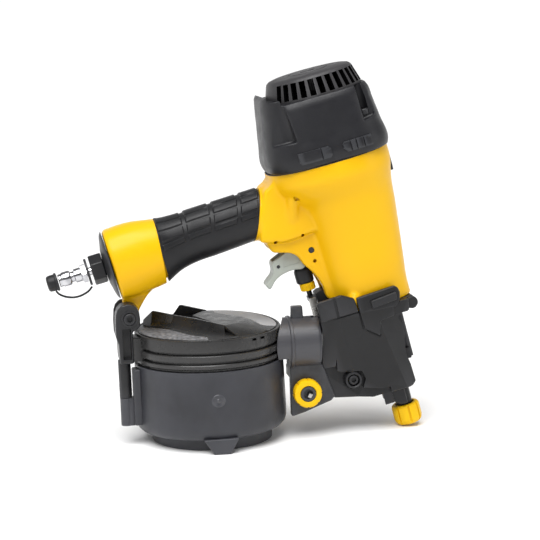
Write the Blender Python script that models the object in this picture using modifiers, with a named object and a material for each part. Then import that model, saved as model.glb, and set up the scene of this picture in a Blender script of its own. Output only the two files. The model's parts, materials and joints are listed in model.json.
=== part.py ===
"""Coil nailer, modelled as its separate pieces.

Lengths in this file are millimetres; helpers turn them into metres with MM.
+X points to the nose, +Y to the tool's left side, +Z up.
Three frames are used, each an empty:
  stance    the tool as it stands on its foot ring, tab and nose tip; the canister's axis is its Z
  barrel    Z runs up the driver's axis, X forward
  handle    X runs along the handle towards the barrel, starting at the handle's end face
"""

import bpy
import bmesh
import numpy as np
from math import cos, sin, pi, radians, tau
from mathutils import Matrix, Vector

MM = 0.001
GAP = 0.3

# Driving dimensions
STANCE_TILT = 1.2          # degrees, lean of the canister's axis to the rear
BARREL_TILT = 13.0         # degrees, driver's axis to the canister's axis
HANDLE_RISE = 14.0         # degrees, handle's axis to the canister's base
STANCE_AT = (-21.26, 0.8, 1.9)
BARREL_AT = (149.46, 0.0, 4.03)
HANDLE_AT = (-69.2, 0.0, 132.2)

SLEEVE_OUTER = 22.5
SLEEVE_BORE = 20.3
SLEEVE_BOTTOM = 112.0
SLEEVE_TOP = 194.0
PISTON_RADIUS = 20.0
PISTON_BOTTOM = 181.0
PISTON_HEIGHT = 12.0
DRIVER_HALF = 1.9
HOUSING_TOP = 206.0
CAP_TOP = 255.0
CAP_SCREWS = [(-42.0, -27.0), (-42.0, 27.0), (22.0, -27.0), (22.0, 27.0)]
DEFLECTOR_X = -6.0
DEFLECTOR_BASE_RADIUS = 36.5
DEFLECTOR_TOP_RADIUS = 32.0

TRIGGER_PIVOT = (-39.8, 144.8)
ROCKER_PIVOT = (-65.9, 138.3)
VALVE_X = -57.0
ADJUSTER_X = -47.6

CUP_RADIUS = 55.6
CUP_TOP = 57.7
CUP_WALL = 2.4
CUP_FLOOR = 7.2
MAGAZINE_RADIUS = 55.0
HINGE_AT = (-64.0, -12.0)
CUP_SWING = 122.2          # from the hinge to the far side of the canister, with room
FEED_AXIS = (-10.0, 66.5)
FEED_RADIUS = 19.5
FEED_PISTON_Y = -17.0
FEED_BORE_START = 59.4
PAWL_PIVOT = (76.0, -6.6)
SPARE_TIP_AT = (69.3, 31.3)

YELLOW = (0.86, 0.55, 0.02)
BLACK = (0.025, 0.026, 0.028)
RUBBER = (0.018, 0.018, 0.019)
DARK_GREY = (0.06, 0.062, 0.068)
LIGHT_GREY = (0.5, 0.53, 0.52)
STEEL = (0.55, 0.55, 0.56)
CHROME = (0.8, 0.8, 0.82)
ALUMINIUM = (0.7, 0.71, 0.72)

for old in list(bpy.data.objects):
    bpy.data.objects.remove(old)


def new_collection(name):
    collection = bpy.data.collections.new(name)
    bpy.context.scene.collection.children.link(collection)
    return collection


PARTS = new_collection("pneumatic_nail_gun")
CUTTERS = new_collection("cutters")


def material(name, colour, roughness, metallic=0.0):
    made = bpy.data.materials.new(name)
    made.use_nodes = True
    shader = made.node_tree.nodes["Principled BSDF"]
    shader.inputs["Base Color"].default_value = (*colour, 1.0)
    shader.inputs["Roughness"].default_value = roughness
    shader.inputs["Metallic"].default_value = metallic
    return made


PAINT = material("yellow_paint", YELLOW, 0.35)
YELLOW_PLASTIC = material("yellow_plastic", YELLOW, 0.45)
BLACK_PLASTIC = material("black_plastic", BLACK, 0.5)
CANISTER_PLASTIC = material("canister_plastic", DARK_GREY, 0.5)
GREY_PLASTIC = material("grey_plastic", LIGHT_GREY, 0.45)
RUBBER_MAT = material("rubber", RUBBER, 0.8)
BLACK_STEEL = material("black_steel", BLACK, 0.4, 0.6)
BLACK_ALLOY = material("black_alloy", BLACK, 0.45, 0.3)
BARE_STEEL = material("steel", STEEL, 0.3, 1.0)
CHROME_MAT = material("chrome", CHROME, 0.1, 1.0)
CAST_ALUMINIUM = material("aluminium", ALUMINIUM, 0.35, 1.0)
SEALANT = material("sealant", (0.3, 0.08, 0.03), 0.6)


# Frames

def frame(name, parent, at, lean):
    empty = bpy.data.objects.new(name, None)
    empty.parent = parent
    empty.location = Vector(at) * MM
    empty.rotation_euler = (0.0, radians(lean), 0.0)
    PARTS.objects.link(empty)
    return empty


STANCE = frame("stance", None, STANCE_AT, -STANCE_TILT)
BARREL = frame("barrel", STANCE, BARREL_AT, -BARREL_TILT)
HANDLE = frame("handle", STANCE, HANDLE_AT, -HANDLE_RISE)


# Building helpers

def add(name, mesh, parent, at=(0.0, 0.0, 0.0), finish=None):
    """A new part from a mesh, placed in its parent frame."""
    made = bpy.data.objects.new(name, mesh)
    made.parent = parent
    made.location = Vector(at) * MM
    PARTS.objects.link(made)
    if finish:
        mesh.materials.clear()
        mesh.materials.append(finish)
    return made


def from_bmesh(name, work):
    mesh = bpy.data.meshes.new(name)
    work.to_mesh(mesh)
    work.free()
    return mesh


def smooth(made, angle=35.0):
    made.data.shade_smooth()
    made.data.set_sharp_from_angle(angle=radians(angle))
    return made


def turn_matrix(axis):
    """Turns local Z to the named axis."""
    if axis == "-X":
        return Matrix.Rotation(-pi / 2, 4, "Y")
    if axis == "X":
        return Matrix.Rotation(pi / 2, 4, "Y")
    if axis == "Y":
        return Matrix.Rotation(-pi / 2, 4, "X")
    return Matrix.Identity(4)


def box(name, low, high, parent, finish=None):
    """A box between two corners; its origin is its centre."""
    low = Vector(low)
    high = Vector(high)
    work = bmesh.new()
    bmesh.ops.create_cube(work, size=1.0)
    bmesh.ops.scale(work, vec=(high - low) * MM, verts=work.verts)
    return add(name, from_bmesh(name, work), parent, (low + high) / 2, finish)


def cylinder(name, radius, length, at, parent, finish=None, axis="Z", top=None, sides=24):
    """A cylinder or cone centred at a point, along an axis of its frame."""
    work = bmesh.new()
    bmesh.ops.create_cone(work, cap_ends=True, segments=sides, radius1=radius * MM,
                          radius2=(radius if top is None else top) * MM, depth=length * MM)
    bmesh.ops.transform(work, matrix=turn_matrix(axis), verts=work.verts)
    return smooth(add(name, from_bmesh(name, work), parent, at, finish))


def turned(name, profile, parent, at=(0.0, 0.0, 0.0), finish=None, sides=32, axis="Z"):
    """A turned piece; the profile of (radius, height) runs down the outer side, then back
    up the bore when it is closed. A solid piece starts and ends on the axis."""
    closed = all(radius > 0.0 for radius, height in profile)
    work = bmesh.new()
    points = [work.verts.new((radius * MM, 0.0, height * MM)) for radius, height in profile]
    pairs = list(zip(points, points[1:]))
    if closed:
        pairs.append((points[-1], points[0]))
    for start, end in pairs:
        work.edges.new((start, end))
    made = add(name, from_bmesh(name, work), parent, at, finish)
    screw = made.modifiers.new("screw", "SCREW")
    screw.steps = sides
    screw.render_steps = sides
    screw.use_merge_vertices = True
    screw.merge_threshold = 0.00001
    screw.use_smooth_shade = True
    if axis != "Z":
        made.rotation_euler = turn_matrix(axis).to_euler()
    return made


def prism(name, outline, low, high, parent, finish=None, axis="Y", at=(0.0, 0.0)):
    """A flat outline filled and extruded between two heights along an axis.
    The outline's coordinates are (x, z) for axis Y and (x, y) for axis Z."""
    curve = bpy.data.curves.new(name, "CURVE")
    curve.dimensions = "2D"
    curve.fill_mode = "BOTH"
    curve.extrude = (high - low) / 2 * MM
    spline = curve.splines.new("POLY")
    spline.points.add(len(outline) - 1)
    for point, (x, y) in zip(spline.points, outline):
        point.co = (x * MM, y * MM, 0.0, 1.0)
    spline.use_cyclic_u = True
    holder = bpy.data.objects.new(name + "_outline", curve)
    PARTS.objects.link(holder)
    depsgraph = bpy.context.evaluated_depsgraph_get()
    mesh = bpy.data.meshes.new_from_object(holder.evaluated_get(depsgraph))
    bpy.data.objects.remove(holder)
    work = bmesh.new()
    work.from_mesh(mesh)
    bmesh.ops.remove_doubles(work, verts=work.verts, dist=0.00001)
    bmesh.ops.dissolve_limit(work, angle_limit=radians(1.0), verts=work.verts, edges=work.edges)
    if axis == "Y":
        bmesh.ops.transform(work, matrix=Matrix.Rotation(pi / 2, 4, "X"), verts=work.verts)
    bmesh.ops.recalc_face_normals(work, faces=work.faces)
    work.to_mesh(mesh)
    work.free()
    middle = (low + high) / 2
    place = (at[0], middle, at[1]) if axis == "Y" else (at[0], at[1], middle)
    return add(name, mesh, parent, place, finish)


def round_corners(outline, radius, steps=3):
    """Replaces each corner of an outline by a short arc-like curve."""
    rounded = []
    count = len(outline)
    for index, corner in enumerate(outline):
        corner = Vector(corner)
        before = Vector(outline[index - 1]) - corner
        after = Vector(outline[(index + 1) % count]) - corner
        reach = min(radius, before.length * 0.45, after.length * 0.45)
        start = corner + before.normalized() * reach
        end = corner + after.normalized() * reach
        for step in range(steps + 1):
            t = step / steps
            point = start * (1 - t) ** 2 + corner * 2 * t * (1 - t) + end * t ** 2
            rounded.append((point.x, point.y))
    return rounded


def section(half_x, half_y, power, count):
    """A rounded-box section as (x, y) pairs."""
    points = []
    for index in range(count):
        angle = tau * index / count
        c = cos(angle)
        s = sin(angle)
        x = half_x * abs(c) ** (2.0 / power) * (1 if c >= 0 else -1)
        y = half_y * abs(s) ** (2.0 / power) * (1 if s >= 0 else -1)
        points.append((x, y))
    return points


def loft(name, rings, parent, finish=None):
    """Skins closed rings of points, lowest first, and caps both ends."""
    work = bmesh.new()
    rows = [[work.verts.new(Vector(point) * MM) for point in ring] for ring in rings]
    count = len(rows[0])
    for lower, upper in zip(rows, rows[1:]):
        for index in range(count):
            after = (index + 1) % count
            work.faces.new((lower[index], lower[after], upper[after], upper[index]))
    work.faces.new(list(reversed(rows[0])))
    work.faces.new(rows[-1])
    bmesh.ops.recalc_face_normals(work, faces=work.faces)
    return smooth(add(name, from_bmesh(name, work), parent, finish=finish), 30.0)


def bevel(made, width, segments=2, angle=30.0):
    modifier = made.modifiers.new("bevel", "BEVEL")
    modifier.width = width * MM
    modifier.segments = segments
    modifier.limit_method = "ANGLE"
    modifier.angle_limit = radians(angle)
    return made


def hide(tool):
    for collection in list(tool.users_collection):
        collection.objects.unlink(tool)
    CUTTERS.objects.link(tool)
    tool.hide_render = True
    tool.display_type = "WIRE"


def combine(made, operation, tools):
    for tool in tools:
        modifier = made.modifiers.new(operation.lower(), "BOOLEAN")
        modifier.operation = operation
        modifier.solver = "EXACT"
        modifier.object = tool
        hide(tool)
    return made


def cut(made, *tools):
    return combine(made, "DIFFERENCE", tools)


def join(made, *tools):
    return combine(made, "UNION", tools)


def tube_along(name, points, radius, parent, finish, resolution=2):
    """A round wire through points, with closed ends."""
    curve = bpy.data.curves.new(name, "CURVE")
    curve.dimensions = "3D"
    curve.bevel_depth = radius * MM
    curve.bevel_resolution = resolution
    curve.use_fill_caps = True
    spline = curve.splines.new("POLY")
    spline.points.add(len(points) - 1)
    for point, place in zip(spline.points, points):
        point.co = (*(Vector(place) * MM), 1.0)
    made = bpy.data.objects.new(name, curve)
    made.parent = parent
    curve.materials.append(finish)
    PARTS.objects.link(made)
    weld = made.modifiers.new("weld", "WELD")
    weld.merge_threshold = 0.00001
    return made


def coil(radius, low, high, turns, per_turn=12):
    count = int(turns * per_turn) + 1
    angles = np.linspace(0.0, tau * turns, count)
    heights = np.linspace(low, high, count)
    return [(radius * cos(a), radius * sin(a), h) for a, h in zip(angles, heights)]


def socket_screw(name, at, head_radius, head_height, shank_radius, shank, parent, axis="Z"):
    """A socket-head screw; its head's underside is at the given point and the head points
    along the axis."""
    half_flat = head_radius * 0.5
    profile = [(0.0, head_height), (head_radius - 0.5, head_height), (head_radius, head_height - 0.5),
               (head_radius, 0.0), (shank_radius, 0.0), (shank_radius, -shank), (0.0, -shank)]
    screw = turned(name, profile, parent, at, BLACK_STEEL, 20)
    socket = cylinder(name + "_socket", half_flat, head_height, (at[0], at[1], at[2]), parent, sides=6)
    socket.data.transform(Matrix.Translation((0.0, 0.0, head_height * 0.9 * MM)))
    if axis == "-Y":
        screw.rotation_euler = (pi / 2, 0.0, 0.0)
        socket.rotation_euler = (pi / 2, 0.0, 0.0)
    return cut(screw, socket)


# Body housing: barrel, handle core, trigger web and rear lug in one casting

BARREL_SECTIONS = [
    # height, centre x, half width x, half width y
    (92.0, -3.5, 30.1, 23.0),
    (104.0, -4.5, 31.0, 24.5),
    (120.0, -4.0, 32.0, 27.0),
    (146.0, -2.8, 33.5, 29.5),
    (165.0, -2.5, 35.0, 33.5),
    (180.0, -5.0, 39.0, 38.5),
    (192.0, -9.0, 44.5, 41.5),
    (206.0, -9.8, 46.0, 42.5),
]
HANDLE_SECTIONS = [
    # distance, centre z, half height, half width, lean
    (0.0, 0.0, 25.0, 24.0, 0.0),
    (1.5, 0.0, 26.0, 25.0, 0.0),
    (25.0, 0.0, 26.3, 25.3, 0.0),
    (36.8, -0.6, 24.2, 23.8, 0.0),
    (37.0, -0.6, 20.6, 20.3, 0.0),
    (53.0, 1.4, 16.9, 16.6, 0.1),
    (82.0, 2.8, 16.0, 16.0, 0.25),
    (113.5, 3.7, 15.4, 16.4, 0.35),
    (150.0, 4.0, 16.5, 18.0, 0.35),
]
GRIP_SECTIONS = [
    (37.3, -0.6, 24.1, 23.7, 0.0),
    (43.0, 0.2, 22.3, 21.8, 0.0),
    (53.0, 1.4, 20.1, 19.8, 0.1),
    (63.0, 2.4, 19.5, 19.2, 0.15),
    (82.0, 2.8, 19.2, 19.2, 0.25),
    (113.0, 3.7, 18.6, 19.6, 0.35),
]
UPPER_WEB = [(-20.0, 202.0), (-55.0, 202.0), (-58.0, 199.0), (-63.0, 197.4), (-70.0, 177.0), (-75.4, 161.3),
             (-70.9, 159.6), (-55.0, 156.0), (-20.0, 160.0)]
TRIGGER_WEB = [(-20.0, 165.0), (-66.0, 165.0), (-70.9, 159.6), (-69.7, 155.4), (-68.1, 150.7), (-55.3, 146.9),
               (-50.7, 143.1), (-48.0, 135.6), (-43.8, 129.7), (-40.1, 122.8), (-38.1, 115.4), (-37.6, 106.6),
               (-34.0, 103.0), (-20.0, 103.0)]
LUG = [(-62.3, 112.0), (-62.0, 92.5), (-60.5, 89.5), (-57.0, 88.6), (-53.0, 91.5), (-50.4, 98.2),
       (-44.8, 107.3),
       (-38.5, 115.0), (-45.0, 122.0), (-58.0, 122.0)]
BRACKET_BOLT = (-58.8, 94.5)
WEB_HALF = 15.0
TRIGGER_SLOT_HALF = 8.3


def barrel_rings(sections, count=28):
    rings = []
    for height, centre, half_x, half_y in sections:
        outline = section(half_x, half_y, 2.5, count)
        rings.append([(centre + x, y, height) for x, y in outline])
    return rings


def handle_rings(sections, grow=0.0, count=24):
    rings = []
    for distance, centre, half_z, half_y, lean in sections:
        outline = section(half_z + grow, half_y + grow, 2.3, count)
        rings.append([(distance + lean * z, -y, centre + z) for z, y in outline])
    return rings


def body_housing():
    body = loft("body_housing", barrel_rings(BARREL_SECTIONS), BARREL, PAINT)
    upper = bevel(prism("upper_web", round_corners(UPPER_WEB, 3.0), -20.0, 20.0, BARREL), 5.0, 3)
    web = bevel(prism("trigger_web", round_corners(TRIGGER_WEB, 2.0), -WEB_HALF, WEB_HALF, BARREL), 3.0)
    core = loft("handle_core", handle_rings(HANDLE_SECTIONS), HANDLE)
    lug = bevel(prism("rear_lug", LUG, -6.0, 6.0, STANCE), 1.0, 1)
    join(body, core, upper, web, lug)
    bores = [
        cylinder("sleeve_bore", SLEEVE_OUTER + GAP, 110.0, (0, 0, SLEEVE_BOTTOM - GAP + 55.0), BARREL,
                 sides=40),
        cylinder("air_chamber", 29.0, 60.0, (0, 0, 198.0), BARREL, sides=32),
        cylinder("top_chamber", 34.0, 30.0, (-5.0, 0, 207.5), BARREL, sides=36),
        cylinder("driver_passage", 8.0, 60.0, (0, 0, 100.0), BARREL, sides=20),
        cylinder("handle_mouth", 11.0, 40.0, (10.0, 0, 0), HANDLE, axis="X", sides=24),
        cylinder("handle_reservoir", 10.0, 130.0, (91.0, 0, 3.0), HANDLE, axis="X", sides=24),
        cylinder("valve_bore", 5.6, 40.0, (VALVE_X, 0, 162.0), BARREL, sides=20),
        cylinder("bracket_bolt_hole", 2.8, 20.0, (BRACKET_BOLT[0], 0, BRACKET_BOLT[1]), STANCE, axis="Y",
                 sides=16),
        cylinder("trigger_pin_hole", 2.3, 40.0, (TRIGGER_PIVOT[0], 0, TRIGGER_PIVOT[1]), BARREL, axis="Y",
                 sides=16),
        box("trigger_slot", (-74.0, -TRIGGER_SLOT_HALF, 100.0), (-35.0, TRIGGER_SLOT_HALF, 156.0), BARREL),
    ]
    for x, y in CAP_SCREWS:
        bores.append(cylinder("cap_screw_bore", 2.3, 30.0, (x, y, 200.0), BARREL, sides=12))
    cut(body, *bores)


def inlet_parts():
    dome = [(5.5, 4.8), (13.0, 4.8), (23.0, 2.8), (25.6, 1.0), (25.6, GAP), (10.7, GAP), (10.7, -6.0),
            (5.5, -6.0)]
    turned("handle_end_cap", dome, HANDLE, finish=BLACK_PLASTIC, sides=36, axis="-X")
    bushing = cylinder("inlet_bushing", 11.0, 11.0, (-10.6, 0, 0), HANDLE, BLACK_STEEL, axis="X", sides=6)
    bevel(bushing, 0.8, 2)
    spigot = cylinder("bushing_spigot", 5.2, 12.0, (-1.0, 0, 0), HANDLE, axis="X")
    bore = cylinder("bushing_bore", 3.4, 40.0, (-5.0, 0, 0), HANDLE, axis="X", sides=16)
    cut(join(bushing, spigot), bore)
    seal = [(6.0, 0.7), (6.0, -0.7), (3.6, -0.7), (3.6, 0.7)]
    turned("thread_seal", seal, HANDLE, (-17.3, 0, 0), SEALANT, 24, "X")
    ring = [(10.0, 0.9), (10.0, -0.9), (6.4, -0.9), (6.4, 0.9)]
    turned("strap_ring", ring, HANDLE, (-17.5, 0, 0), RUBBER_MAT, 28, "X")
    nipple = [(4.6, 39.6), (4.6, 37.0), (5.4, 35.5), (5.4, 31.2), (4.0, 30.0), (4.0, 28.2), (5.2, 27.0),
              (5.2, 22.6), (7.0, 22.0), (7.0, 18.7), (3.1, 18.7), (3.1, 8.0), (2.4, 8.0), (2.4, 39.6)]
    turned("air_fitting", nipple, HANDLE, finish=CHROME_MAT, sides=24, axis="-X")
    cap = [(0.0, 47.4), (4.6, 47.4), (5.9, 46.2), (5.9, 40.0), (0.0, 40.0)]
    turned("dust_cap", cap, HANDLE, finish=RUBBER_MAT, sides=24, axis="-X")
    route = [(-18.0, 0, -11.3), (-20.0, 0, -12.9), (-23.0, 0, -14.3), (-28.0, 0, -15.2), (-33.0, 0, -14.8),
             (-38.0, 0, -12.8), (-41.5, 0, -10.2), (-43.2, 0, -7.9), (-43.6, 0, -6.3)]
    tube_along("dust_cap_strap", route, 0.9, HANDLE, RUBBER_MAT)


def handle_grip():
    outer = loft("handle_grip", handle_rings(GRIP_SECTIONS), HANDLE, RUBBER_MAT)
    inner_sections = [(32.0, -0.6, 21.3, 20.9, 0.0)]
    inner_sections += [(x, z, a, b, lean) for x, z, a, b, lean in HANDLE_SECTIONS[4:7]]
    inner_sections += [(125.0, 3.9, 15.5, 16.6, 0.35)]
    inner = loft("grip_bore", handle_rings(inner_sections, GAP), HANDLE)
    cut(outer, inner)


# The wall behind the exhaust deflector
REAR_LIP = [(-51.6, 244.0), (-51.0, 262.8), (-46.6, 262.8), (-43.6, 256.6), (-43.6, 244.0)]


def top_cap():
    rings = []
    for height, centre, half_x, half_y in [(206.9, -9.8, 46.2, 42.6), (210.0, -9.8, 47.1, 43.6),
                                           (228.0, -10.0, 45.3, 42.6), (243.0, -9.9, 43.5, 41.2),
                                           (253.0, -9.4, 41.8, 39.5), (CAP_TOP, -9.4, 40.4, 38.2)]:
        rings.append([(centre + x, y, height) for x, y in section(half_x, half_y, 3.0, 32)])
    cap = loft("top_cap", rings, BARREL, BLACK_PLASTIC)
    lip = bevel(prism("rear_lip", REAR_LIP, -33.0, 33.0, BARREL), 2.0, 2)
    join(cap, lip)
    tools = [cylinder("cap_chamber", 33.5, 28.0, (-5.0, 0, 212.0), BARREL, sides=36),
             cylinder("head_valve_guide", 23.0, 14.0, (0, 0, 230.0), BARREL, sides=32),
             cylinder("exhaust_bore", 9.0, 40.0, (DEFLECTOR_X + 2.0, 0, 246.0), BARREL, sides=20),
             cylinder("exhaust_well", 27.0, 20.0, (DEFLECTOR_X, 0, 256.0), BARREL, sides=32)]
    for x, y in CAP_SCREWS:
        tools.append(cylinder("screw_hole", 2.6, 60.0, (x, y, 220.0), BARREL, sides=12))
        tools.append(cylinder("screw_recess", 5.5, 60.0, (x, y, 262.0), BARREL, sides=20))
    tools.append(box("rear_recess", (-60.0, -60.0, 228.0), (-36.0, -36.5, 270.0), BARREL))
    tools.append(box("front_recess", (17.5, -60.0, 229.0), (40.0, -37.5, 270.0), BARREL))
    cut(cap, *tools)
    outer = section(46.0, 42.5, 2.5, 32)
    gasket = prism("cap_gasket", [(x - 9.8, y) for x, y in outer], HOUSING_TOP + 0.1, HOUSING_TOP + 0.6,
                   BARREL, RUBBER_MAT, "Z")
    cuts = [cylinder("gasket_bore", 34.0, 10.0, (-5.0, 0, 206.0), BARREL, sides=36)]
    for x, y in CAP_SCREWS:
        cuts.append(cylinder("gasket_hole", 2.6, 10.0, (x, y, 206.0), BARREL, sides=12))
    cut(gasket, *cuts)
    for index, (x, y) in enumerate(CAP_SCREWS, 1):
        socket_screw("cap_screw_%d" % index, (x, y, 232.3), 4.2, 4.0, 2.0, 44.0, BARREL)


def exhaust_deflector():
    base = CAP_TOP + GAP
    profile = [(0.0, base + 13.2), (5.2, base + 13.2), (5.2, base + 16.3), (18.0, base + 16.0),
               (30.5, base + 14.6), (DEFLECTOR_TOP_RADIUS, base + 13.0),
               (DEFLECTOR_BASE_RADIUS, base), (33.5, base), (30.0, base + 11.5), (0.0, base + 11.5)]
    deflector = turned("exhaust_deflector", profile, BARREL, (DEFLECTOR_X, 0, 0), BLACK_PLASTIC, 48)
    tools = [cylinder("deflector_hole", 2.6, 40.0, (DEFLECTOR_X, 0, base + 10), BARREL, sides=12)]
    slot_count = 12
    for index in range(slot_count):
        angle = radians(-90.0 - 62.0 + 124.0 * index / (slot_count - 1) + 8.0)
        slot = box("exhaust_slot", (26.0, -1.7, base + 2.0), (44.0, 1.7, base + 11.0), BARREL)
        slot.data.transform(Matrix.Translation((35.0 * MM, 0.0, 0.0)))
        slot.location = Vector((DEFLECTOR_X, 0.0, base + 6.5)) * MM
        slot.rotation_euler = (0.0, 0.0, angle)
        tools.append(slot)
    cut(deflector, *tools)
    socket_screw("deflector_screw", (DEFLECTOR_X, 0, base + 13.5), 4.5, 2.2, 2.2, 12.0, BARREL)


def drive_parts():
    sleeve = [(SLEEVE_OUTER, SLEEVE_TOP), (SLEEVE_OUTER, SLEEVE_BOTTOM), (SLEEVE_BORE, SLEEVE_BOTTOM),
              (SLEEVE_BORE, SLEEVE_TOP)]
    turned("cylinder_sleeve", sleeve, BARREL, finish=CAST_ALUMINIUM, sides=36)
    groove = PISTON_BOTTOM + 5.0
    top = PISTON_BOTTOM + PISTON_HEIGHT
    piston = [(0.0, top - 3.0), (12.0, top - 3.0), (14.0, top), (PISTON_RADIUS, top),
              (PISTON_RADIUS, groove + 3.0),
              (17.0, groove + 3.0), (17.0, groove), (PISTON_RADIUS, groove), (PISTON_RADIUS, PISTON_BOTTOM),
              (0.0, PISTON_BOTTOM)]
    turned("piston", piston, BARREL, finish=CAST_ALUMINIUM, sides=32)
    ring = [(20.1, groove + 2.6), (20.1, groove + 0.4), (17.4, groove + 0.4), (17.4, groove + 2.6)]
    turned("piston_seal", ring, BARREL, finish=RUBBER_MAT, sides=32)
    blade = box("driver_blade", (-DRIVER_HALF, -DRIVER_HALF, 66.0),
                (DRIVER_HALF, DRIVER_HALF, PISTON_BOTTOM - 0.3),
                BARREL, BARE_STEEL)
    bevel(blade, 0.6, 2)
    bumper = [(19.8, 122.0), (19.8, 112.3), (7.0, 112.3), (5.0, 118.0), (7.0, 122.0)]
    turned("bumper", bumper, BARREL, finish=RUBBER_MAT, sides=32)
    valve = [(25.0, 200.0), (25.0, 194.4), (12.0, 194.4), (10.0, 196.0), (10.0, 218.0), (13.0, 218.0),
             (13.0, 200.0)]
    turned("head_valve", valve, BARREL, finish=CAST_ALUMINIUM, sides=32)
    tube_along("head_valve_spring", coil(17.5, 201.6, 221.6, 4.0), 1.0, BARREL, BARE_STEEL)


# Trigger group

TRIGGER = [(-78.7, 127.1), (-76.9, 123.8), (-75.0, 124.1), (-70.8, 128.8), (-65.2, 131.6), (-58.5, 132.8),
           (-52.8, 132.4), (-48.7, 131.2), (-45.5, 133.5), (-42.5, 139.0), (-37.0, 141.0), (-36.0, 146.0),
           (-38.0, 149.0), (-43.0, 149.5), (-49.0, 149.8), (-55.9, 148.2), (-70.2, 142.5), (-70.6, 135.5),
           (-72.2, 132.8), (-76.9, 129.3)]
ROCKER = [(-68.6, 138.0), (-67.5, 135.9), (-60.0, 135.3), (-52.0, 134.4), (-46.0, 134.6), (-45.5, 136.8),
          (-52.0, 137.6), (-60.0, 139.6), (-65.0, 140.8), (-68.0, 140.2)]


def trigger_parts():
    px, pz = TRIGGER_PIVOT
    outline = [(x - px, z - pz) for x, z in TRIGGER]
    trigger = prism("trigger", outline, -7.5, 7.5, BARREL, GREY_PLASTIC, at=(px, pz))
    bevel(trigger, 1.2)
    tools = [box("finger_channel", (-69.0, -5.7, 133.6), (-56.0, 5.7, 160.0), BARREL),
             box("adjuster_channel", (-56.5, -5.7, 120.0), (-30.0, 5.7, 160.0), BARREL),
             cylinder("pivot_hole", 2.3, 30.0, (px, 0, pz), BARREL, axis="Y", sides=16),
             cylinder("rocker_hole", 1.4, 30.0, (ROCKER_PIVOT[0], 0, ROCKER_PIVOT[1]), BARREL, axis="Y",
                      sides=12)]
    cut(trigger, *tools)
    cylinder("trigger_pin", 2.0, 30.0, (px, 0, pz), BARREL, BLACK_STEEL, axis="Y", sides=16)
    cylinder("rocker_pin", 1.1, 15.0, (ROCKER_PIVOT[0], 0, ROCKER_PIVOT[1]), BARREL, BARE_STEEL, axis="Y",
             sides=12)
    rx, rz = ROCKER_PIVOT
    rocker = prism("rocker", [(x - rx, z - rz) for x, z in ROCKER], -4.5, 4.5, BARREL, BARE_STEEL,
                   at=(rx, rz))
    cut(rocker, cylinder("rocker_bore", 1.4, 20.0, (rx, 0, rz), BARREL, axis="Y", sides=12))
    body = [(5.2, 181.0), (5.2, 150.5), (1.9, 150.5), (1.9, 172.0), (3.0, 172.0), (3.0, 181.0)]
    turned("valve_body", body, BARREL, (VALVE_X, 0, 0), BLACK_PLASTIC, 20)
    cylinder("valve_stem", 1.5, 22.0, (VALVE_X, 0, 154.8), BARREL, BARE_STEEL, sides=12)


# Nose group: casting, feed door and the contact arm's slot. The driver runs down the middle
# of a channel that the door closes on the left side.

NOSE = [(-46.5, 91.7), (-48.0, 86.6), (-50.6, 76.0), (-55.0, 59.0), (-45.2, 56.5), (-47.6, 52.0),
        (-51.2, 33.0),
        (-34.0, 28.0), (-24.0, 24.5), (7.8, 24.0), (11.4, 26.5), (11.0, 40.0), (10.4, 58.0), (12.6, 66.0),
        (12.6, 72.0), (10.2, 76.3), (13.8, 81.0), (18.0, 83.0), (24.0, 85.0), (26.0, 91.7)]
LEFT_CHEEK = [(-46.4, 88.0), (-46.4, 106.0), (-30.5, 107.2), (-25.6, 107.6), (-20.0, 101.9), (-19.4, 88.0)]
RIGHT_CHEEK = [(-18.4, 88.0), (-18.4, 101.9), (11.6, 102.5), (15.2, 100.4), (14.4, 88.0)]
NOSE_SCREW = (-35.6, 42.6)
NOSE_FACE = -20.0           # the casting's flat right side
ARM_SLOT = [(-53.0, 93.0), (-53.0, 84.0), (-17.0, 46.0), (-17.0, 20.0), (-6.0, 20.0), (-6.0, 56.0),
            (-43.5, 95.0),
            (-43.5, 110.0), (-53.0, 110.0)]
ARM = [(-51.0, 110.0), (-51.0, 84.6), (-15.2, 47.0), (-15.2, 14.0), (-8.2, 14.0), (-8.2, 50.0), (-45.5, 88.6),
       (-45.5, 110.0)]


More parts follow.
